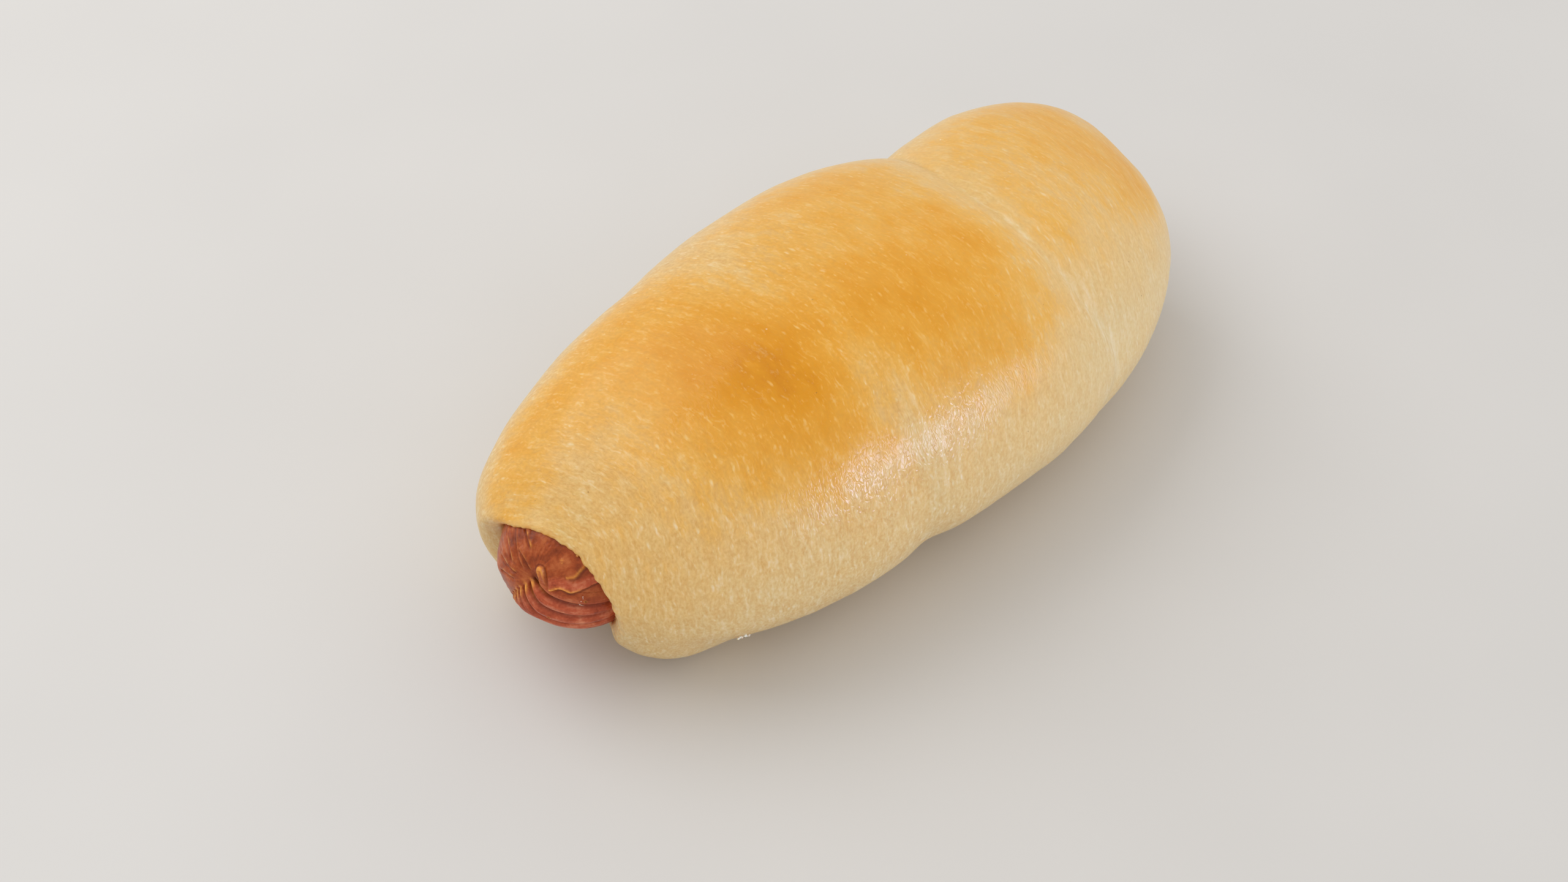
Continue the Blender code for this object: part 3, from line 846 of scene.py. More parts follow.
wrinkle = add_node(
    tree, "ShaderNodeTexNoise",
    {"Vector": drawn_out, "Scale": per_mm(WRINKLE_MM), "Detail": 3.0, "Distortion": 0.8},
).outputs[0]
net = add_node(
    tree, "ShaderNodeTexVoronoi", {"Vector": drawn_out, "Scale": per_mm(NET_MM)}, feature="DISTANCE_TO_EDGE"
).outputs["Distance"]
net_top = add_node(
    tree, "ShaderNodeMapRange", {"Value": net, "From Min": 0.0, "From Max": 0.28},
    interpolation_type="SMOOTHSTEP",
).outputs[0]
buttered_net = masked(tree, net_top, butter_here, WHOLE, (0.08, 0.62))
skin_height = stirred(
    tree, (wrinkle, 0.5, 0.30), (streak, 0.5, 0.35), (flecks, 0.0, 0.10), (buttered_net, 0.0, 1.0)
)
relief = add_node(tree, "ShaderNodeBump", {"Height": skin_height, "Distance": SKIN_BUMP, "Strength": 0.8})
roughness = add_node(tree, "ShaderNodeMapRange", {"Value": streak, "To Min": 0.40, "To Max": 0.60})
gloss = add_node(tree, "ShaderNodeMapRange", {"Value": butter_here, "To Min": 0.35, "To Max": 1.0})
for source, key in (
    (relief, "Normal"), (relief, "Coat Normal"), (roughness, "Roughness"), (gloss, "Coat Weight"),
):
    tree.links.new(source.outputs[0], shader.inputs[key])
set_inputs(shader, {
    "IOR": 1.4, "Specular IOR Level": 0.2, "Coat Roughness": 0.17, "Coat IOR": 1.5,
    "Subsurface Weight": 0.2, "Subsurface Radius": (1.0, 0.55, 0.25), "Subsurface Scale": 0.0016,
})
print("crust with its gloss:", len(tree.nodes), "nodes")

# %% [markdown]
# ## Relief that follows the skin
# A crust is never as smooth as a formula. Its shallow dimples, a centimetre apart, change the outline
# and break up the long highlights, so they are real relief and not a bump. Geometry Nodes suit this: the
# tree takes the mesh, reads each point's place on the skin, and moves it along its normal by two noises,
# one for dimples and one, drawn out round the girth, for shallow ripples.

# %% Skin relief
SKIN_SIZES = {
    "Dimple Size": 0.009, "Dimple Depth": 0.00022, "Ripple Size": 0.0032, "Ripple Depth": 0.00007,
    "Ripple Stretch": 0.34, "Inset": 0.00022,
}
skin_tree, given = geometry_tree("crust_skin", SKIN_SIZES)
on_skin = add_node(skin_tree, "GeometryNodeInputNamedAttribute", {"Name": "place"}, data_type="FLOAT_VECTOR")
where_shown = add_node(skin_tree, "GeometryNodeInputNamedAttribute", {"Name": "shown"}, data_type="FLOAT")


def skin_noise(vector, size, detail):
    """A noise between -1 and 1 with features of a given size."""
    scale = add_node(skin_tree, "ShaderNodeMath", {0: 1.0, 1: size}, operation="DIVIDE").outputs[0]
    noise = add_node(skin_tree, "ShaderNodeTexNoise", {"Vector": vector, "Scale": scale, "Detail": detail})
    return add_node(
        skin_tree, "ShaderNodeMath", {0: noise.outputs[0], 1: 2.0, 2: -1.0}, operation="MULTIPLY_ADD"
    ).outputs[0]


dimples = skin_noise(on_skin.outputs[0], given["Dimple Size"], 1.0)
squeeze = add_node(
    skin_tree, "ShaderNodeCombineXYZ", {0: 1.0, 1: given["Ripple Stretch"], 2: given["Ripple Stretch"]}
).outputs[0]
drawn_skin = add_node(
    skin_tree, "ShaderNodeVectorMath", {0: on_skin.outputs[0], 1: squeeze}, operation="MULTIPLY"
).outputs[0]
ripples = skin_noise(drawn_skin, given["Ripple Size"], 2.0)
dimple_height = add_node(
    skin_tree, "ShaderNodeMath", {0: dimples, 1: given["Dimple Depth"]}, operation="MULTIPLY"
).outputs[0]
skin_offset = add_node(
    skin_tree, "ShaderNodeMath", {0: ripples, 1: given["Ripple Depth"], 2: dimple_height},
    operation="MULTIPLY_ADD",
).outputs[0]
skin_offset = add_node(
    skin_tree, "ShaderNodeMath", {0: skin_offset, 1: given["Inset"]}, operation="SUBTRACT"
).outputs[0]
skin_offset = add_node(
    skin_tree, "ShaderNodeMath", {0: skin_offset, 1: where_shown.outputs[0]}, operation="MULTIPLY"
).outputs[0]
normal = add_node(skin_tree, "GeometryNodeInputNormal").outputs[0]
along_normal = add_node(
    skin_tree, "ShaderNodeVectorMath", {0: normal, "Scale": skin_offset}, operation="SCALE"
).outputs[0]
moved = add_node(
    skin_tree, "GeometryNodeSetPosition", {"Geometry": given["Geometry"], "Offset": along_normal}
)
end_tree(skin_tree, given, moved.outputs[0])
bun = made_by(skin_tree, "bun_crust", bun_start, crust, SKIN_SIZES)

# %% [markdown]
# ## The sausage's end
# A sausage is tied off while its skin is soft, and smoking sets the puckers hard. Here the skin was drawn
# to a point above the middle: five or six ridges start there side by side and sweep down and round to
# the near side, widening as they go. A small horn of skin stands beside them, a stiff flap is folded over
# the first ridge, and fine pleats spread upwards. On a map of the end, with distances measured along the
# skin from the tip, each of these is a short line, so the relief is written on that map as grooves,
# steps and ridges and then laid on the round end.

# %% A map of the end, in metres along the skin: across from the tip, and up from it
def millimetres(*points):
    """A line's points, given in millimetres, in metres, with its corners cut off twice."""
    line = np.array(points) / 1000
    for _ in range(2):
        quarter, rest = 0.75 * line[:-1] + 0.25 * line[1:], 0.25 * line[:-1] + 0.75 * line[1:]
        line = np.concatenate([line[:1], np.stack([quarter, rest], axis=1).reshape(-1, 2), line[-1:]])
    return line


def near_line(across, up, line):
    """Distance from each place to a line of short stretches, positive on its left, and how far along."""
    best = np.full(across.shape, 1.0)
    side = np.ones(across.shape)
    share = np.zeros(across.shape)
    for at, (start, stop) in enumerate(zip(line, line[1:])):
        step = stop - start
        to = np.stack([across - start[0], up - start[1]], axis=-1)
        part = np.clip(to @ step / (step @ step), 0, 1)
        off = to - part[..., None] * step
        distance = np.hypot(off[..., 0], off[..., 1])
        closer = distance < best
        best = np.where(closer, distance, best)
        side = np.where(closer, np.sign(step[0] * to[..., 1] - step[1] * to[..., 0]), side)
        share = np.where(closer, (at + part) / (len(line) - 1), share)
    return best * side, share


# %% Sizes of the swept folds
FOLD_START = (-0.0021, 0.0036)      # head of the first fold
FOLD_TURN = math.radians(-55.2)     # direction of the row of fold heads
FOLD_SPACING = 0.00121
FOLD_SPREAD = 0.00256               # added to the spacing away from the heads
FOLD_SPREAD_OVER = 0.0039
FOLD_BEND = 28.7                    # how strongly the folds sweep to the near side, per metre
FOLD_COUNT = 6
FOLD_DEPTH = 0.00105
FOLD_HEAD = 0.0012                  # length over which a fold rises at its head
FOLD_FADE = 0.0120                  # distance over which the folds flatten, down to a share
FOLD_REST = 0.35
GROOVE_SHARE = 0.16                 # half width of the sharp groove between folds, as a share
GROOVE_SHARP = 0.55                 # share of the depth that the sharp groove has
LINES_IN_FOLD, LINE_DEPTH, LINE_DRIFT = 4, 0.00003, 900     # fine lines along each fold
FOLD_PROUD = 0.00034                # how far the ridges stand up beside their heads
PROUD_PLACE, PROUD_WIDTH = 0.0022, 0.0030       # how far from the heads, and over what length
TIP_FLAT = 0.003                    # but not near the tip, which sets the sausage's length
HEAD_PLACE, HEAD_WIDTH = 0.0004, 0.0007         # where the fatty heads lie
TRAIL, TRAIL_PLACE, TRAIL_WIDTH = 0.45, 0.0016, 0.0013      # a thinner trail of fat behind each head
RUN_ACROSS, RUN_ALONG = 2, 0.12     # the grain's place runs fast across the folds and slowly along them


# %% The swept folds
def folds(across, up):
    """Height of the swept folds, the shade painted into their grooves, their fatty heads, and a place that
    runs along them.
    """
    along_row = np.array([math.cos(FOLD_TURN), math.sin(FOLD_TURN)])
    off_row = np.array([math.sin(FOLD_TURN), -math.cos(FOLD_TURN)])
    place = np.stack([across - FOLD_START[0], up - FOLD_START[1]], axis=-1)
    row = place @ along_row
    away = place @ off_row
    reached = np.maximum(away, 0)
    spacing = FOLD_SPACING + FOLD_SPREAD * (1 - np.exp(-reached / FOLD_SPREAD_OVER))
    number = (row + FOLD_BEND * reached**2) / spacing
    off_groove = np.abs(number - np.round(number))
    shown = smooth_step(away / FOLD_HEAD + 0.4) * smooth_step(number + 0.9)
    shown = shown * smooth_step(FOLD_COUNT + 0.5 - number)
    fade = FOLD_REST + (1 - FOLD_REST) * bell(reached, FOLD_FADE)
    sharp = bell(off_groove, GROOVE_SHARE)
    groove = (1 - GROOVE_SHARP) * (0.5 + 0.5 * np.cos(2 * np.pi * number)) + GROOVE_SHARP * sharp
    lines = np.cos(2 * np.pi * LINES_IN_FOLD * number + LINE_DRIFT * away) * (1 - sharp)
    ridge = np.sqrt(np.clip(1 - (1 - 2 * off_groove) ** 2, 0, 1))
    proud = FOLD_PROUD * ridge * bell(away - PROUD_PLACE, PROUD_WIDTH)
    proud = proud * smooth_step(np.hypot(across, up) / TIP_FLAT - 0.5)
    height = shown * (proud - fade * (FOLD_DEPTH * groove + LINE_DEPTH * lines))
    begun = smooth_step(number + 0.6)
    heads = bell(away - HEAD_PLACE, HEAD_WIDTH) * smooth_step(off_groove / 0.2 - 1.0) * begun
    trail = TRAIL * bell(away - TRAIL_PLACE, TRAIL_WIDTH) * shown * begun
    heads = heads + trail * (1 - smooth_step(off_groove / 0.25))
    run = np.stack([number * FOLD_SPACING * RUN_ACROSS, away * RUN_ALONG, np.zeros_like(away)], axis=-1)
    return {
        "height": height, "painted_shade": groove * shown * fade, "fat": heads * smooth_step(FOLD_COUNT - number),
        "pulled": shown, "run": run,
    }


# %% The pucker
PUCKER = (-0.0022, 0.0037)
PUCKER_DEPTH = 0.0010
PUCKER_RADIUS = 0.0022
PUCKER_SHADE, SHADE_SHARE = 0.8, 0.4        # how dark its bottom is, and how wide, as a share of it
RAYS, RAY_DEPTH = 38, 0.000025              # fine wrinkles that spread from the pucker


def sink_pucker(skin, across, up):
    """Draws the skin in round the pucker, with fine rays about it, and paints shade at its bottom."""
    out_across, out_up = across - PUCKER[0], up - PUCKER[1]
    from_pucker = np.hypot(out_across, out_up)
    around = np.arctan2(out_up, out_across)
    rays = np.sin(RAYS * around + 2.5 * np.sin(7 * around) + 320 * from_pucker)
    rays = rays * (1 - skin["pulled"]) * smooth_step(from_pucker / 0.003 - 0.3)
    skin["height"] = skin["height"] - PUCKER_DEPTH * bell(from_pucker, PUCKER_RADIUS) - RAY_DEPTH * rays
    skin["painted_shade"] = skin["painted_shade"] + PUCKER_SHADE * bell(from_pucker, SHADE_SHARE * PUCKER_RADIUS)
    spread = np.stack([0.004 * around, 0.2 * from_pucker, np.full_like(around, 0.01)], axis=-1)
    skin["run"] = np.where(skin["pulled"][..., None] > 0.5, skin["run"], spread)


# %% Folded edges of skin
FLAP_EDGE = millimetres(
    (-5.2, 3.2), (-5.8, 3.4), (-6.8, 4.2), (-7.6, 4.0), (-8.5, 3.6), (-9.2, 3.9), (-10.1, 4.5), (-11.5, 5.4),
    (-12.6, 6.0),
)
FACET_EDGE = millimetres((-7.4, 6.0), (-7.8, 6.2), (-8.6, 6.4), (-9.0, 7.3), (-9.5, 8.3), (-9.9, 9.2))
# Each edge: its line, how far it stands up, over what length it falls inside and outside it, its width in fat
EDGES = ((FLAP_EDGE, 0.00060, 0.0024, 0.0005, 0.00030), (FACET_EDGE, 0.00034, 0.0014, 0.0005, 0.00026))
EDGE_DROP = 0.6             # how far the skin outside an edge sinks, as a share of the edge's height
EDGE_SHARP = 0.00012        # distance over which the step between them is rounded
PLATE_WIDTH, PLATE_FADE, PLATE_RISE = 0.0024, 0.0012, 0.0003    # stiff plate of skin behind the flap's edge
PLATE_GRAIN = 0.00004       # depth of that plate's leathery grain


def raise_edges(skin, across, up):
    """Two folded edges: each stands up along its line, with fat on it and painted shade in the groove below
    it.
    """
    for line, rise, fall, drop, width in EDGES:
        off, share = near_line(across, up, line)
        ends = smooth_step(share / 0.12) * smooth_step((1 - share) / 0.1 + 0.3)
        outside = -EDGE_DROP * np.exp(-np.maximum(off, 0) / drop)
        step = np.where(off < 0, np.exp(np.minimum(off, 0) / fall), outside)
        fatty = smooth_step((0.78 - share) / 0.2) if line is FLAP_EDGE else 0.75
        skin["height"] = skin["height"] + rise * ends * step * smooth_step(np.abs(off) / EDGE_SHARP)
        skin["fat"] = skin["fat"] + fatty * bell(off + 0.4 * width, width) * ends
        # painted shade in the groove under the edge
        below = 0.7 * bell(off - 0.8 * drop, 0.6 * drop) * smooth_step(share / 0.6 + 0.2)
        skin["painted_shade"] = skin["painted_shade"] + below * ends
        if line is FLAP_EDGE:
            plate = ends * smooth_step(-off / PLATE_RISE) * smooth_step((PLATE_WIDTH + off) / PLATE_FADE)
            grain = np.sin(9000 * across + 3 * np.sin(5200 * up)) * np.sin(8300 * up)
            skin["pulled"] = np.maximum(skin["pulled"], plate)
            skin["height"] = skin["height"] + PLATE_GRAIN * plate * grain


# %% The horn of skin
HORN = millimetres((-3.15, 5.95), (-3.45, 5.2), (-3.85, 4.2), (-4.5, 2.9))
HORN_HALF = 0.00064
HORN_HEIGHT = 0.00060
HORN_SOFT = 0.0003          # how softly its sides rise
RIM_HEIGHT, RIM_WIDTH = 0.00012, 0.00016            # its raised rim
HOLLOW_DEPTH, HOLLOW_WIDTH = 0.00050, 0.00022       # and the hollow inside that


def raise_horn(skin, across, up):
    """A small horn with a rim and a hollow, fatty at its root, with shade painted into the hollow and round
    it.
    """
    off, share = near_line(across, up, HORN)
    half = HORN_HALF * (0.9 + 0.25 * share)
    horn = smooth_step((half - np.abs(off)) / HORN_SOFT + 0.5) * smooth_step(1.4 - 1.4 * share)
    rim = bell(np.abs(off) - 0.75 * half, RIM_WIDTH)
    rim = rim * smooth_step(1.3 - 1.3 * share) * smooth_step(share * 8 + 0.4)
    hollow = 0.5 * bell(off, HOLLOW_WIDTH) * smooth_step(1.4 - 2.2 * share) * smooth_step(share * 6)
    shade_round_horn = bell(np.abs(off) - 1.55 * half, 0.0002) * smooth_step(2 - 2 * share)
    skin["height"] = skin["height"] + HORN_HEIGHT * horn * (1 - 0.35 * share)
    skin["height"] = skin["height"] + RIM_HEIGHT * rim - HOLLOW_DEPTH * hollow
    skin["fat"] = skin["fat"] * (1 - horn) + horn * bell(share, 0.34) * (1 - 0.6 * hollow) + 0.4 * rim
    skin["pulled"] = np.maximum(skin["pulled"], 0.7 * horn)
    skin["painted_shade"] = skin["painted_shade"] * (1 - horn) + 0.8 * hollow + 0.7 * shade_round_horn


# %% Pleats
PLEATS = (                  # each pleat: its line, how fatty it is, how deep
    (millimetres((7.2, 7.2), (5.2, 6.5), (3.9, 6.0), (2.8, 5.4), (1.6, 4.2)), 0.8, 1.0),
    (millimetres((3.0, 10.3), (2.1, 9.8), (0.9, 9.2), (-0.7, 8.2)), 0.9, 1.0),
    (millimetres((1.7, 7.2), (0.1, 6.6), (-0.9, 5.9), (-1.7, 4.9)), 0.3, 1.0),
    (millimetres((-5.7, 9.0), (-6.1, 8.2)), 0.6, 0.3),
    (millimetres((5.6, 3.4), (3.6, 3.5), (2.2, 3.3), (0.6, 3.5)), 0.7, 0.8),
    (millimetres((5.0, 0.9), (3.6, 1.6), (2.3, 1.9), (1.0, 2.3)), 0.5, 0.8),
    (millimetres((5.2, 9.2), (3.2, 7.9), (0.9, 5.8), (-0.6, 4.6)), 0.15, 0.8),
)
PLEAT_RIDGE, RIDGE_PLACE, RIDGE_WIDTH = 0.00026, -0.0002, 0.00045       # height, place beside the line, width
PLEAT_GROOVE, GROOVE_PLACE, GROOVE_WIDTH = 0.00036, 0.0005, 0.00024
PLEAT_FAT_WIDTH, PLEAT_SHADE, PLEAT_SHADE_WIDTH = 0.00024, 0.6, 0.0003


def press_pleats(skin, across, up):
    """Fine pleats, each a low ridge beside a groove, with fat along it in places and shade painted into the
    groove.
    """
    for line, fatty, depth in PLEATS:
        off, share = near_line(across, up, line)
        ends = smooth_step(share / 0.2 + 0.2) * smooth_step((1 - share) / 0.25)
        ridge = PLEAT_RIDGE * bell(off - RIDGE_PLACE, RIDGE_WIDTH)
        ridge = ridge - PLEAT_GROOVE * bell(off - GROOVE_PLACE, GROOVE_WIDTH)
        skin["height"] = skin["height"] + ends * depth * ridge
        skin["fat"] = skin["fat"] + fatty * bell(off, PLEAT_FAT_WIDTH) * ends * np.sin(9 * share + 1) ** 2
        skin["painted_shade"] = skin["painted_shade"] + PLEAT_SHADE * depth * bell(off - GROOVE_PLACE, PLEAT_SHADE_WIDTH) * ends


# %% A swelling, bubbles and the whole end
LOBE, LOBE_WIDTH, LOBE_HEIGHT = (0.0066, -0.0002), 0.0024, 0.00040     # where the skin swells
BUBBLES = (((-0.0049, -0.0031), 0.00030), ((-0.0108, 0.0018), 0.00022))     # places on the map, and radii
BUBBLE_RIM, BUBBLE_DENT, BUBBLE_FAT = 0.00008, 0.00010, 0.35


def swell_and_blister(skin, across, up):
    """A soft swelling between two pleats, and small burst bubbles, each a dent with a rim and shade painted
    inside.
    """
    lobe = bell(np.hypot(across - LOBE[0], up - LOBE[1]), LOBE_WIDTH)
    skin["height"] = skin["height"] + LOBE_HEIGHT * lobe
    for middle, radius in BUBBLES:
        off = np.hypot(across - middle[0], up - middle[1]) - radius
        skin["height"] = skin["height"] + BUBBLE_RIM * bell(off, 0.00012)
        skin["height"] = skin["height"] - BUBBLE_DENT * smooth_step(-off / 0.00015)
        skin["fat"] = skin["fat"] + BUBBLE_FAT * bell(off, 0.00011)
        skin["painted_shade"] = skin["painted_shade"] + 0.9 * smooth_step(-off / 0.00012)


def skin_of_end(across, up):
    """The end's skin: its height over a plain round end, its marks of fat, painted shade and pulled skin from
    0 to 1, and how its grain runs.
    """
    skin = folds(across, up)
    for shape in (sink_pucker, raise_edges, raise_horn, press_pleats, swell_and_blister):
        shape(skin, across, up)
    return skin["height"], *(np.clip(skin[mark], 0, 1) for mark in ("fat", "painted_shade", "pulled")), skin["run"]


print("folds and pleats in the end:", FOLD_COUNT, len(PLEATS))

# %% [markdown]
# ## The sausage as one closed skin
# The sausage runs through the whole bun. Its rings follow the axis, which bends a little, and its two
# ends are round caps whose rings are spaced by angle. The rear end, just inside the rear lip, gets the
# same pucker, but nothing there stands proud, because the dough closes round it.

# %% Rings of the sausage
SAUSAGE_ROUND = 400
TIP_STEPS = 136
REAR_TIP_STEPS = 44
BODY_STEPS = 18
BODY_ENDS = (-0.0560, 0.0470)       # x of the first and the last plain ring
FRONT_LIMIT = cad_low[0] - SHIFT[0] + 0.00002       # nothing reaches further forward than the solid does
PLAIN_FROM, PLAIN_OVER = 90, 6      # degrees from the tip where the relief ends, and over how many it fades


def end_skin(x_tip, side, lift, angle):
    """Points on a puckered end at angles of lift from its tip; side is -1 at the front, 1 at the rear."""
    along_skin = SAUSAGE_RADIUS * lift
    height, *marks = skin_of_end(along_skin * np.cos(angle), along_skin * np.sin(angle))
    if side > 0:
        height = np.minimum(height, 0)
    radius = SAUSAGE_RADIUS + height * smooth_step((PLAIN_FROM - np.degrees(lift)) / PLAIN_OVER)
    middle = x_tip - side * SAUSAGE_RADIUS * TIP_SHARE
    x = middle + side * radius * TIP_SHARE * np.cos(lift)
    return axis_point(x) + square_to_x(angle) * (radius * np.sin(lift))[..., None], marks


def end_cap(x_tip, side, count, angle):
    """All rings of a puckered end, from its tip out."""
    lift = math.radians(PLAIN_FROM) * np.linspace(0, 1, count + 1)[1:, None]
    return end_skin(x_tip, side, *np.broadcast_arrays(lift, angle))


sausage_angle, sausage_ring = round_directions(SAUSAGE_ROUND)
front_cap, front_marks = end_cap(SAUSAGE_FRONT, -1, TIP_STEPS, sausage_angle)
front_cap[..., 0] = np.maximum(front_cap[..., 0], FRONT_LIMIT)
rear_cap, rear_marks = end_cap(SAUSAGE_REAR, 1, REAR_TIP_STEPS, sausage_angle)
body_line = axis_point(np.linspace(*BODY_ENDS, BODY_STEPS))[:, None]
body_rings = body_line + sausage_ring * SAUSAGE_RADIUS
plain = np.zeros(body_rings.shape)
trim_rear(rear_cap)
tip_height = skin_of_end(np.zeros(1), np.zeros(1))[0][0]
sausage_tips = np.stack([
    axis_point(SAUSAGE_FRONT - tip_height * TIP_SHARE), axis_point(SAUSAGE_REAR + tip_height * TIP_SHARE)
])
sausage_tips[0, 0] = max(sausage_tips[0, 0], FRONT_LIMIT)
trim_rear(sausage_tips)
sausage_rings = np.concatenate([front_cap, body_rings, rear_cap[::-1]])
sausage_start = mesh_of_rings("sausage_start", sausage_rings, sausage_tips, {
    key: np.concatenate([front, plain if front.ndim == 3 else plain[..., 0], rear[::-1]])
    for key, front, rear in zip(("fat", "painted_shade", "pulled", "run"), front_marks, rear_marks)
})
print("sausage:", len(sausage_start.polygons), "faces")

# %% [markdown]
# ## Smoked skin
# Smoked sausage skin is a brick-red, moist, slightly see-through film. Fat shines through it where it is
# pulled over a ridge, which shows as orange, and shade is painted dark into the folds, the pucker and dents.
# Numbers stored on the mesh say where those are, and noises a few tenths of a millimetre wide give the meat's
# grain.

# %% Colour of the sausage
SAUSAGE_MOTTLE_MM, MEAT_GRAIN_MM, FIBRE_MM = 2.4, 0.40, 0.30
# the first colour is painted shade for the folds, the pucker and the dents; the second is the orange of fat
PAINTED_SHADE_TONE, SHINING_FAT = "5E1C02", "F2A448"

smoked_skin, tree, shader = new_material("smoked_sausage_skin")
own_place = add_node(tree, "ShaderNodeTexCoord").outputs["Object"]
fatty, painted_shade_here, pulled_here = [
    add_node(tree, "ShaderNodeAttribute", attribute_name=key).outputs["Fac"]
    for key in ("fat", "painted_shade", "pulled")
]
run_place = add_node(tree, "ShaderNodeAttribute", attribute_name="run").outputs["Vector"]
meat_mottle, meat_grain, fibre = [
    add_node(
        tree, "ShaderNodeTexNoise", {"Vector": where, "Scale": per_mm(size), "Detail": detail}
    ).outputs[0]
    for where, size, detail in (
        (own_place, SAUSAGE_MOTTLE_MM, 4.0), (own_place, MEAT_GRAIN_MM, 3.0), (run_place, FIBRE_MM, 3.0),
    )
]
tone_place = stirred(tree, (meat_mottle, 0.0, 1.0), (fibre, 0.5, 0.34), (meat_grain, 0.5, 0.35))
smoked_tone = add_node(tree, "ShaderNodeValToRGB", {0: tone_place})
fill_ramp(smoked_tone, ((0.22, "762C06"), (0.50, "A64A1A"), (0.80, "C66E3A")))
pulled_tone = add_node(tree, "ShaderNodeValToRGB", {0: tone_place})
fill_ramp(pulled_tone, ((0.22, "923412"), (0.50, "BE5834"), (0.80, "E09068")))
skin_colour = laid_over(
    tree, smoked_tone.outputs[0],
    (pulled_here, WHOLE, 1.0, pulled_tone.outputs[0]),
    # painted shade: darker where the folds, the pucker and the grooves lie in shade
    (painted_shade_here, (0.25, 1.0), 0.9, linear(PAINTED_SHADE_TONE)),
    (masked(tree, fatty, meat_grain, (0.3, 0.6), (0.5, 1.0)), WHOLE, 1.0, linear(SHINING_FAT)),
)
tree.links.new(skin_colour, shader.inputs["Base Color"])

# %% Gloss and relief of the sausage
MEAT_BUMP = 0.00008                 # metres for a height of 1

meat_height = stirred(tree, (meat_grain, 0.5, 0.7), (meat_mottle, 0.5, 1.0), (fibre, 0.5, 0.9))
meat_relief = add_node(
    tree, "ShaderNodeBump", {"Height": meat_height, "Distance": MEAT_BUMP, "Strength": 0.8}
)
meat_roughness = add_node(tree, "ShaderNodeMapRange", {"Value": meat_mottle, "To Min": 0.30, "To Max": 0.55})
for source, key in ((meat_relief, "Normal"), (meat_relief, "Coat Normal"), (meat_roughness, "Roughness")):
    tree.links.new(source.outputs[0], shader.inputs[key])
set_inputs(shader, {
    "IOR": 1.4, "Specular IOR Level": 0.25, "Coat Weight": 0.25, "Coat Roughness": 0.14,
    "Subsurface Weight": 0.2, "Subsurface Radius": (1.0, 0.3, 0.15), "Subsurface Scale": 0.0008,
})
print("smoked skin:", len(tree.nodes), "nodes")

sausage = bpy.data.objects.new("sausage_skin", sausage_start)
sausage_start.materials.append(smoked_skin)
bpy.context.collection.objects.link(sausage)

# %% [markdown]
# ## Crumbs and bits of fat
# Where the lip was pulled thin its edge frayed into greasy crumbs, a few specks of fat cling to the
# sausage, and a flake of dough sticks to the near flank. They are too small to model one by one, and all of
# them follow a line, so one tree makes all three: it takes a path, spreads points on it by chance, puts a
# small ball on each, and dents every ball by a noise so that no two look alike.

# %% Bits along a path
BITS_MEAN = {"Count": 40, "Seed": 1, "Least": 0.00006, "Most": 0.00020, "Scatter": 0.00010, "Dent": 0.5}
bits_tree, given = geometry_tree("bits_on_a_path", BITS_MEAN)


def by_chance(low, high, offset, vector=False):
    """A random value for each point, between two numbers or vectors."""
    seed = add_node(bits_tree, "ShaderNodeMath", {0: given["Seed"], 1: offset}, operation="ADD").outputs[0]
    first = 0 if vector else 2
    made = add_node(
        bits_tree, "FunctionNodeRandomValue", {first: low, first + 1: high, 8: seed},
        data_type="FLOAT_VECTOR" if vector else "FLOAT",
    )
    return made.outputs[0] if vector else made.outputs[1]


DENT_MM = 0.15              # width of the dents in a bit
FULL_TURN = 6.3             # in radians
path = add_node(bits_tree, "GeometryNodeMeshToCurve", {0: given["Geometry"]})
on_path = add_node(
    bits_tree, "GeometryNodeCurveToPoints", {"Curve": path.outputs[0], "Count": given["Count"]}, mode="COUNT"
)
any_way = by_chance((-1.0, -1.0, -1.0), (1.0, 1.0, 1.0), 0, True)
stray = add_node(
    bits_tree, "ShaderNodeVectorMath", {0: any_way, "Scale": given["Scatter"]}, operation="SCALE"
).outputs[0]
strewn = add_node(bits_tree, "GeometryNodeSetPosition", {"Geometry": on_path.outputs[0], "Offset": stray})
chance = by_chance(0.0, 1.0, 1)
few_large = add_node(bits_tree, "ShaderNodeMath", {0: chance, 1: 3.0}, operation="POWER").outputs[0]
bit_size = add_node(
    bits_tree, "ShaderNodeMapRange",
    {"Value": few_large, "To Min": given["Least"], "To Max": given["Most"]},
).outputs[0]
any_shape = by_chance((0.6, 0.6, 0.6), (1.2, 1.0, 1.0), 2, True)
bit_scale = add_node(
    bits_tree, "ShaderNodeVectorMath", {0: any_shape, "Scale": bit_size}, operation="SCALE"
).outputs[0]
ball = add_node(bits_tree, "GeometryNodeMeshIcoSphere", {"Radius": 1.0, "Subdivisions": 2})
balls = add_node(
    bits_tree, "GeometryNodeInstanceOnPoints",
    {
        "Points": strewn.outputs[0], "Instance": ball.outputs[0], "Scale": bit_scale,
        "Rotation": by_chance((0.0, 0.0, 0.0), (FULL_TURN, FULL_TURN, FULL_TURN), 3, True),
    },
)
loose = add_node(bits_tree, "GeometryNodeRealizeInstances", {0: balls.outputs[0]})
here = add_node(bits_tree, "GeometryNodeInputPosition").outputs[0]
dents = add_node(
    bits_tree, "ShaderNodeTexNoise", {"Vector": here, "Scale": per_mm(DENT_MM), "Detail": 1.0}
).outputs["Color"]
dents = add_node(
    bits_tree, "ShaderNodeVectorMath", {0: dents, 1: MIDDLE_GREY}, operation="SUBTRACT"
).outputs[0]
dent_size = add_node(
    bits_tree, "ShaderNodeMath", {0: given["Dent"], 1: given["Most"]}, operation="MULTIPLY"
).outputs[0]
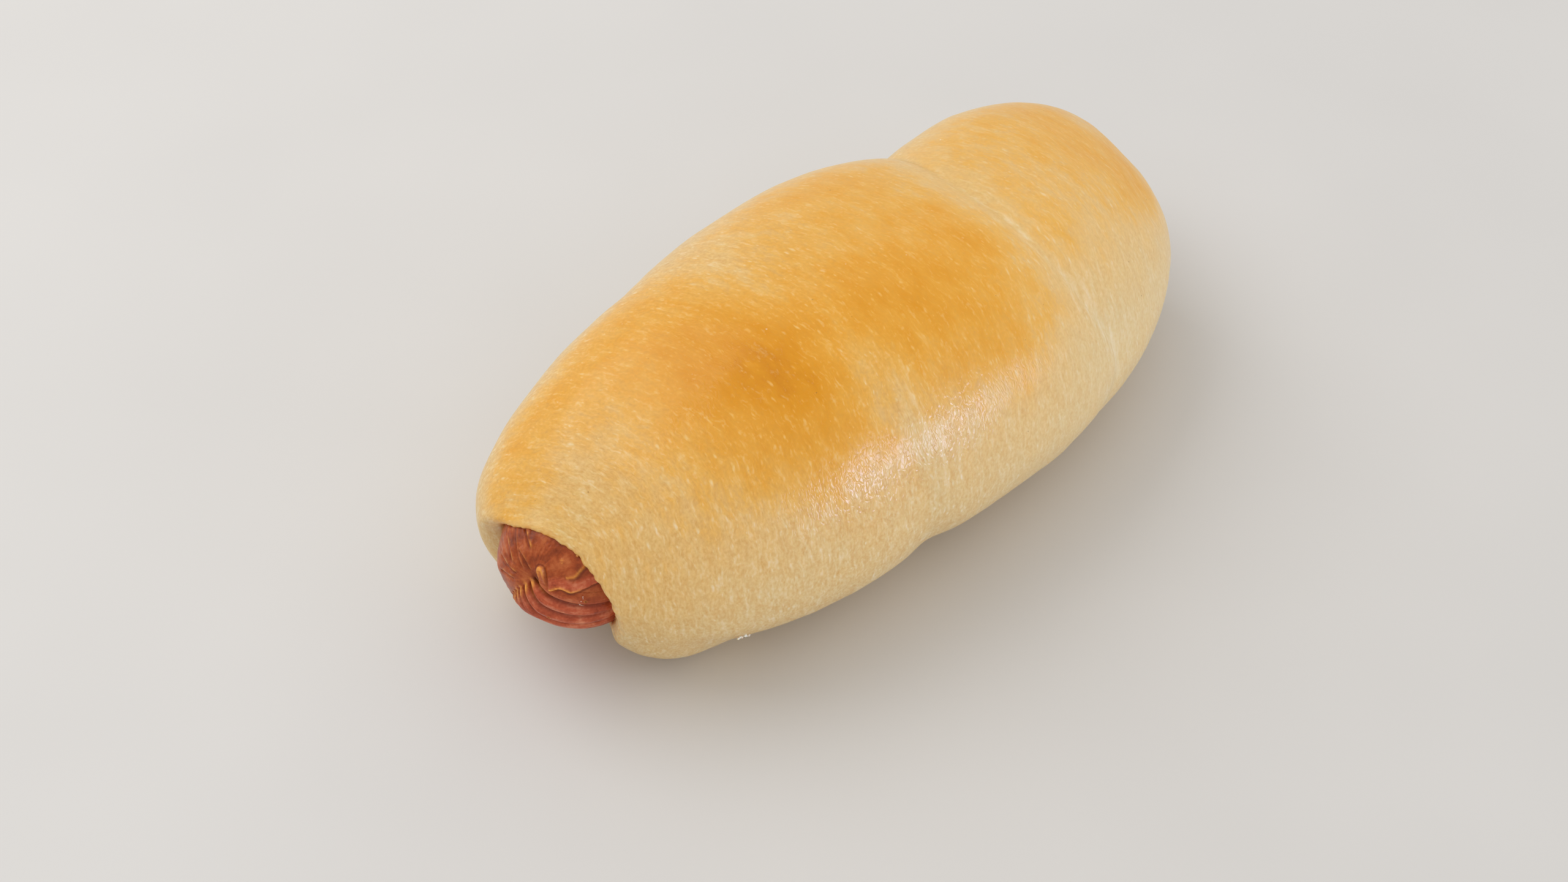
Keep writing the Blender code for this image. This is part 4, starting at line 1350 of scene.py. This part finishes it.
dents = add_node(
    bits_tree, "ShaderNodeVectorMath", {0: dents, "Scale": dent_size}, operation="SCALE"
).outputs[0]
dented = add_node(bits_tree, "GeometryNodeSetPosition", {"Geometry": loose.outputs[0], "Offset": dents})
smooth = add_node(bits_tree, "GeometryNodeSetShadeSmooth", {0: dented.outputs[0]})
end_tree(bits_tree, given, smooth.outputs[0])
print("tree for the bits:", len(bits_tree.nodes), "nodes")


# %% Finish of the bits
BIT_TONE_MM = 0.5           # distance over which a bit's colour changes


def bit_finish(name, low, high, roughness):
    """A moist finish whose colour wanders between two tones."""
    material, tree, shader = new_material(name)
    where = add_node(tree, "ShaderNodeTexCoord").outputs["Object"]
    cloud_settings = {"Vector": where, "Scale": per_mm(BIT_TONE_MM), "Detail": 2.0}
    cloud = add_node(tree, "ShaderNodeTexNoise", cloud_settings)
    tone = add_node(tree, "ShaderNodeValToRGB", {0: cloud.outputs[0]})
    fill_ramp(tone, ((0.40, low), (0.60, high)))
    tree.links.new(tone.outputs[0], shader.inputs["Base Color"])
    set_inputs(shader, {"Roughness": roughness, "Subsurface Weight": 0.2, "Subsurface Scale": 0.0005})
    return material


def path_mesh(name, points):
    """A mesh of one open line."""
    mesh = bpy.data.meshes.new(name)
    mesh.from_pydata((points + SHIFT).tolist(), [(at, at + 1) for at in range(len(points) - 1)], [])
    return mesh


# %% Crumbs, specks and the flake
FRAYED = (126, 203)         # degrees round the axis between which the lip is frayed
FRAYED_POINTS = 90
CRUMBS_OUT, CRUMBS_FORWARD = 0.00008, 0.00006       # the crumbs' line lies this far off the lip's own
SPECK_PATH = np.array([(-10.5, 3.3), (-10.2, 2.4), (-9.9, 1.6), (-10.3, 0.4), (-10.5, -1.4)]) / 1000
FLAKE_X, FLAKE_ANGLE, FLAKE_POINTS = (-0.0511, -0.0494), 198.0, 4

frayed_angle = np.radians(np.linspace(*FRAYED, FRAYED_POINTS))
frayed_ring = square_to_x(frayed_angle)
frayed_line = lip_line(FRONT_LIP, frayed_angle, frayed_ring)
frayed_line = frayed_line + frayed_ring * CRUMBS_OUT - np.array([CRUMBS_FORWARD, 0, 0])
crumbs = made_by(
    bits_tree, "lip_crumbs", path_mesh("frayed_lip", frayed_line),
    bit_finish("greasy_crumbs", "C8812E", "E2B274", 0.4),
    {"Count": 100, "Seed": 4, "Least": 0.00007, "Most": 0.00030, "Scatter": 0.00012, "Dent": 0.6},
)
speck_lift = np.hypot(*SPECK_PATH.T) / SAUSAGE_RADIUS
speck_line = end_skin(SAUSAGE_FRONT, -1, speck_lift, np.arctan2(SPECK_PATH[:, 1], SPECK_PATH[:, 0]))[0]
specks = made_by(
    bits_tree, "fat_specks", path_mesh("speck_path", speck_line),
    bit_finish("pale_fat", "E6C4B0", "F4E2D6", 0.25),
    {"Count": 14, "Seed": 9, "Least": 0.00005, "Most": 0.00017, "Scatter": 0.00022, "Dent": 0.4},
)
flake_axis = axis_point(np.linspace(*FLAKE_X, FLAKE_POINTS))
flake_ring = square_to_x(np.full(FLAKE_POINTS, math.radians(FLAKE_ANGLE)))
flake_line = flake_axis + flake_ring * reach(flake_axis, flake_ring, dough_field)[:, None]
flake = made_by(
    bits_tree, "dough_flake", path_mesh("flake_path", flake_line),
    bit_finish("dry_dough", "EAD9BE", "FBF1E0", 0.7),
    {"Count": 11, "Seed": 2, "Least": 0.00009, "Most": 0.00028, "Scatter": 0.00010, "Dent": 0.9},
)

# %% [markdown]
# ## The table and the light
# The floor is plain and pale. The light is a bright room: an even sky, a broad soft light behind the bun
# and to its far side, which lays the shadow to the near side, and two low, slightly blue windows on the
# near side, which draw the glints on the buttered flanks. The windows stand so low that they would leave
# a white patch on the floor in front of them, so they are linked to the food and light nothing else.

# %% Floor
FLOOR_SIDE = 3.0
FLOOR_CLOUD_MM = 60
floor_mesh = bpy.data.meshes.new("floor")
half = FLOOR_SIDE / 2
floor_mesh.from_pydata(
    [(-half, -half, 0), (half, -half, 0), (half, half, 0), (-half, half, 0)], [], [(0, 1, 2, 3)]
)
floor = bpy.data.objects.new("floor", floor_mesh)
bpy.context.collection.objects.link(floor)
floor_finish, tree, shader = new_material("matt_white_floor")
floor_place = add_node(tree, "ShaderNodeTexCoord").outputs["Object"]
floor_cloud = add_node(
    tree, "ShaderNodeTexNoise", {"Vector": floor_place, "Scale": per_mm(FLOOR_CLOUD_MM), "Detail": 2.0}
).outputs[0]
floor_tone = add_node(tree, "ShaderNodeValToRGB", {0: floor_cloud})
fill_ramp(floor_tone, ((0.3, "DCDAD8"), (0.7, "DFDDDB")))
tree.links.new(floor_tone.outputs[0], shader.inputs["Base Color"])
set_inputs(shader, {"Roughness": 0.7, "Specular IOR Level": 0.2})
floor_mesh.materials.append(floor_finish)
print("floor side, m:", FLOOR_SIDE)

# %% Light
SKY = 0.74
AIM_HEIGHT = 0.02           # the lights aim at a point this far above the table


def soft_box(name, towards, distance, width, height, power, colour):
    """An area light that shines on the bun from a direction."""
    lamp = bpy.data.lights.new(name, "AREA")
    lamp.shape = "RECTANGLE"
    lamp.size = width
    lamp.size_y = height
    lamp.energy = power
    lamp.color = linear(colour)[:3]
    holder = bpy.data.objects.new(name, lamp)
    away = Vector(towards).normalized()
    holder.location = Vector(SHIFT) + Vector((0, 0, AIM_HEIGHT)) + away * distance
    holder.rotation_euler = away.to_track_quat("Z", "Y").to_euler()
    bpy.context.collection.objects.link(holder)
    return holder


food = bpy.data.collections.new("lit_by_the_windows")
for piece in (bun, sausage, crumbs, specks, flake):
    food.objects.link(piece)

world = bpy.data.worlds.new("bright_room")
bpy.context.scene.world = world
world.use_nodes = True
set_inputs(world.node_tree.nodes["Background"], {"Color": linear("FFFEFC"), "Strength": SKY})
soft_box("broad_light", (-0.24, 0.61, 0.75), 0.9, 0.9, 0.7, 3.1, "FFFDFA")
for window in (
    soft_box("near_window", (0.24, -0.96, 0.15), 0.8, 0.16, 0.28, 1.9, "C0D0FF"),
    soft_box("second_window", (0.50, -0.85, 0.18), 0.8, 0.12, 0.22, 0.8, "C6D6FF"),
):
    window.light_linking.receiver_collection = food

# %% [markdown]
# ## Tie everything to the frame
# Each piece rides on the one body and stands for its solid, which is hidden. The two
# boxes are written down, so that anyone can see that the looks kept the solids' size.

# %% Tie to the frame
for piece, node, finish in ((bun, "bun", "crust"), (sausage, "sausage", "sausage_skin")):
    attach(piece, "root")
    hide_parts(node)
for piece, finish in ((crumbs, "crust"), (flake, "crust"), (specks, "sausage_skin")):
    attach(piece, "root")
floor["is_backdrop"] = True

new_low, new_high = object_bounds()
room = (*(new_low - cad_low), *(cad_high - new_high))
print("visual box within the solids', mm:", [round(1000 * side, 2) for side in room])
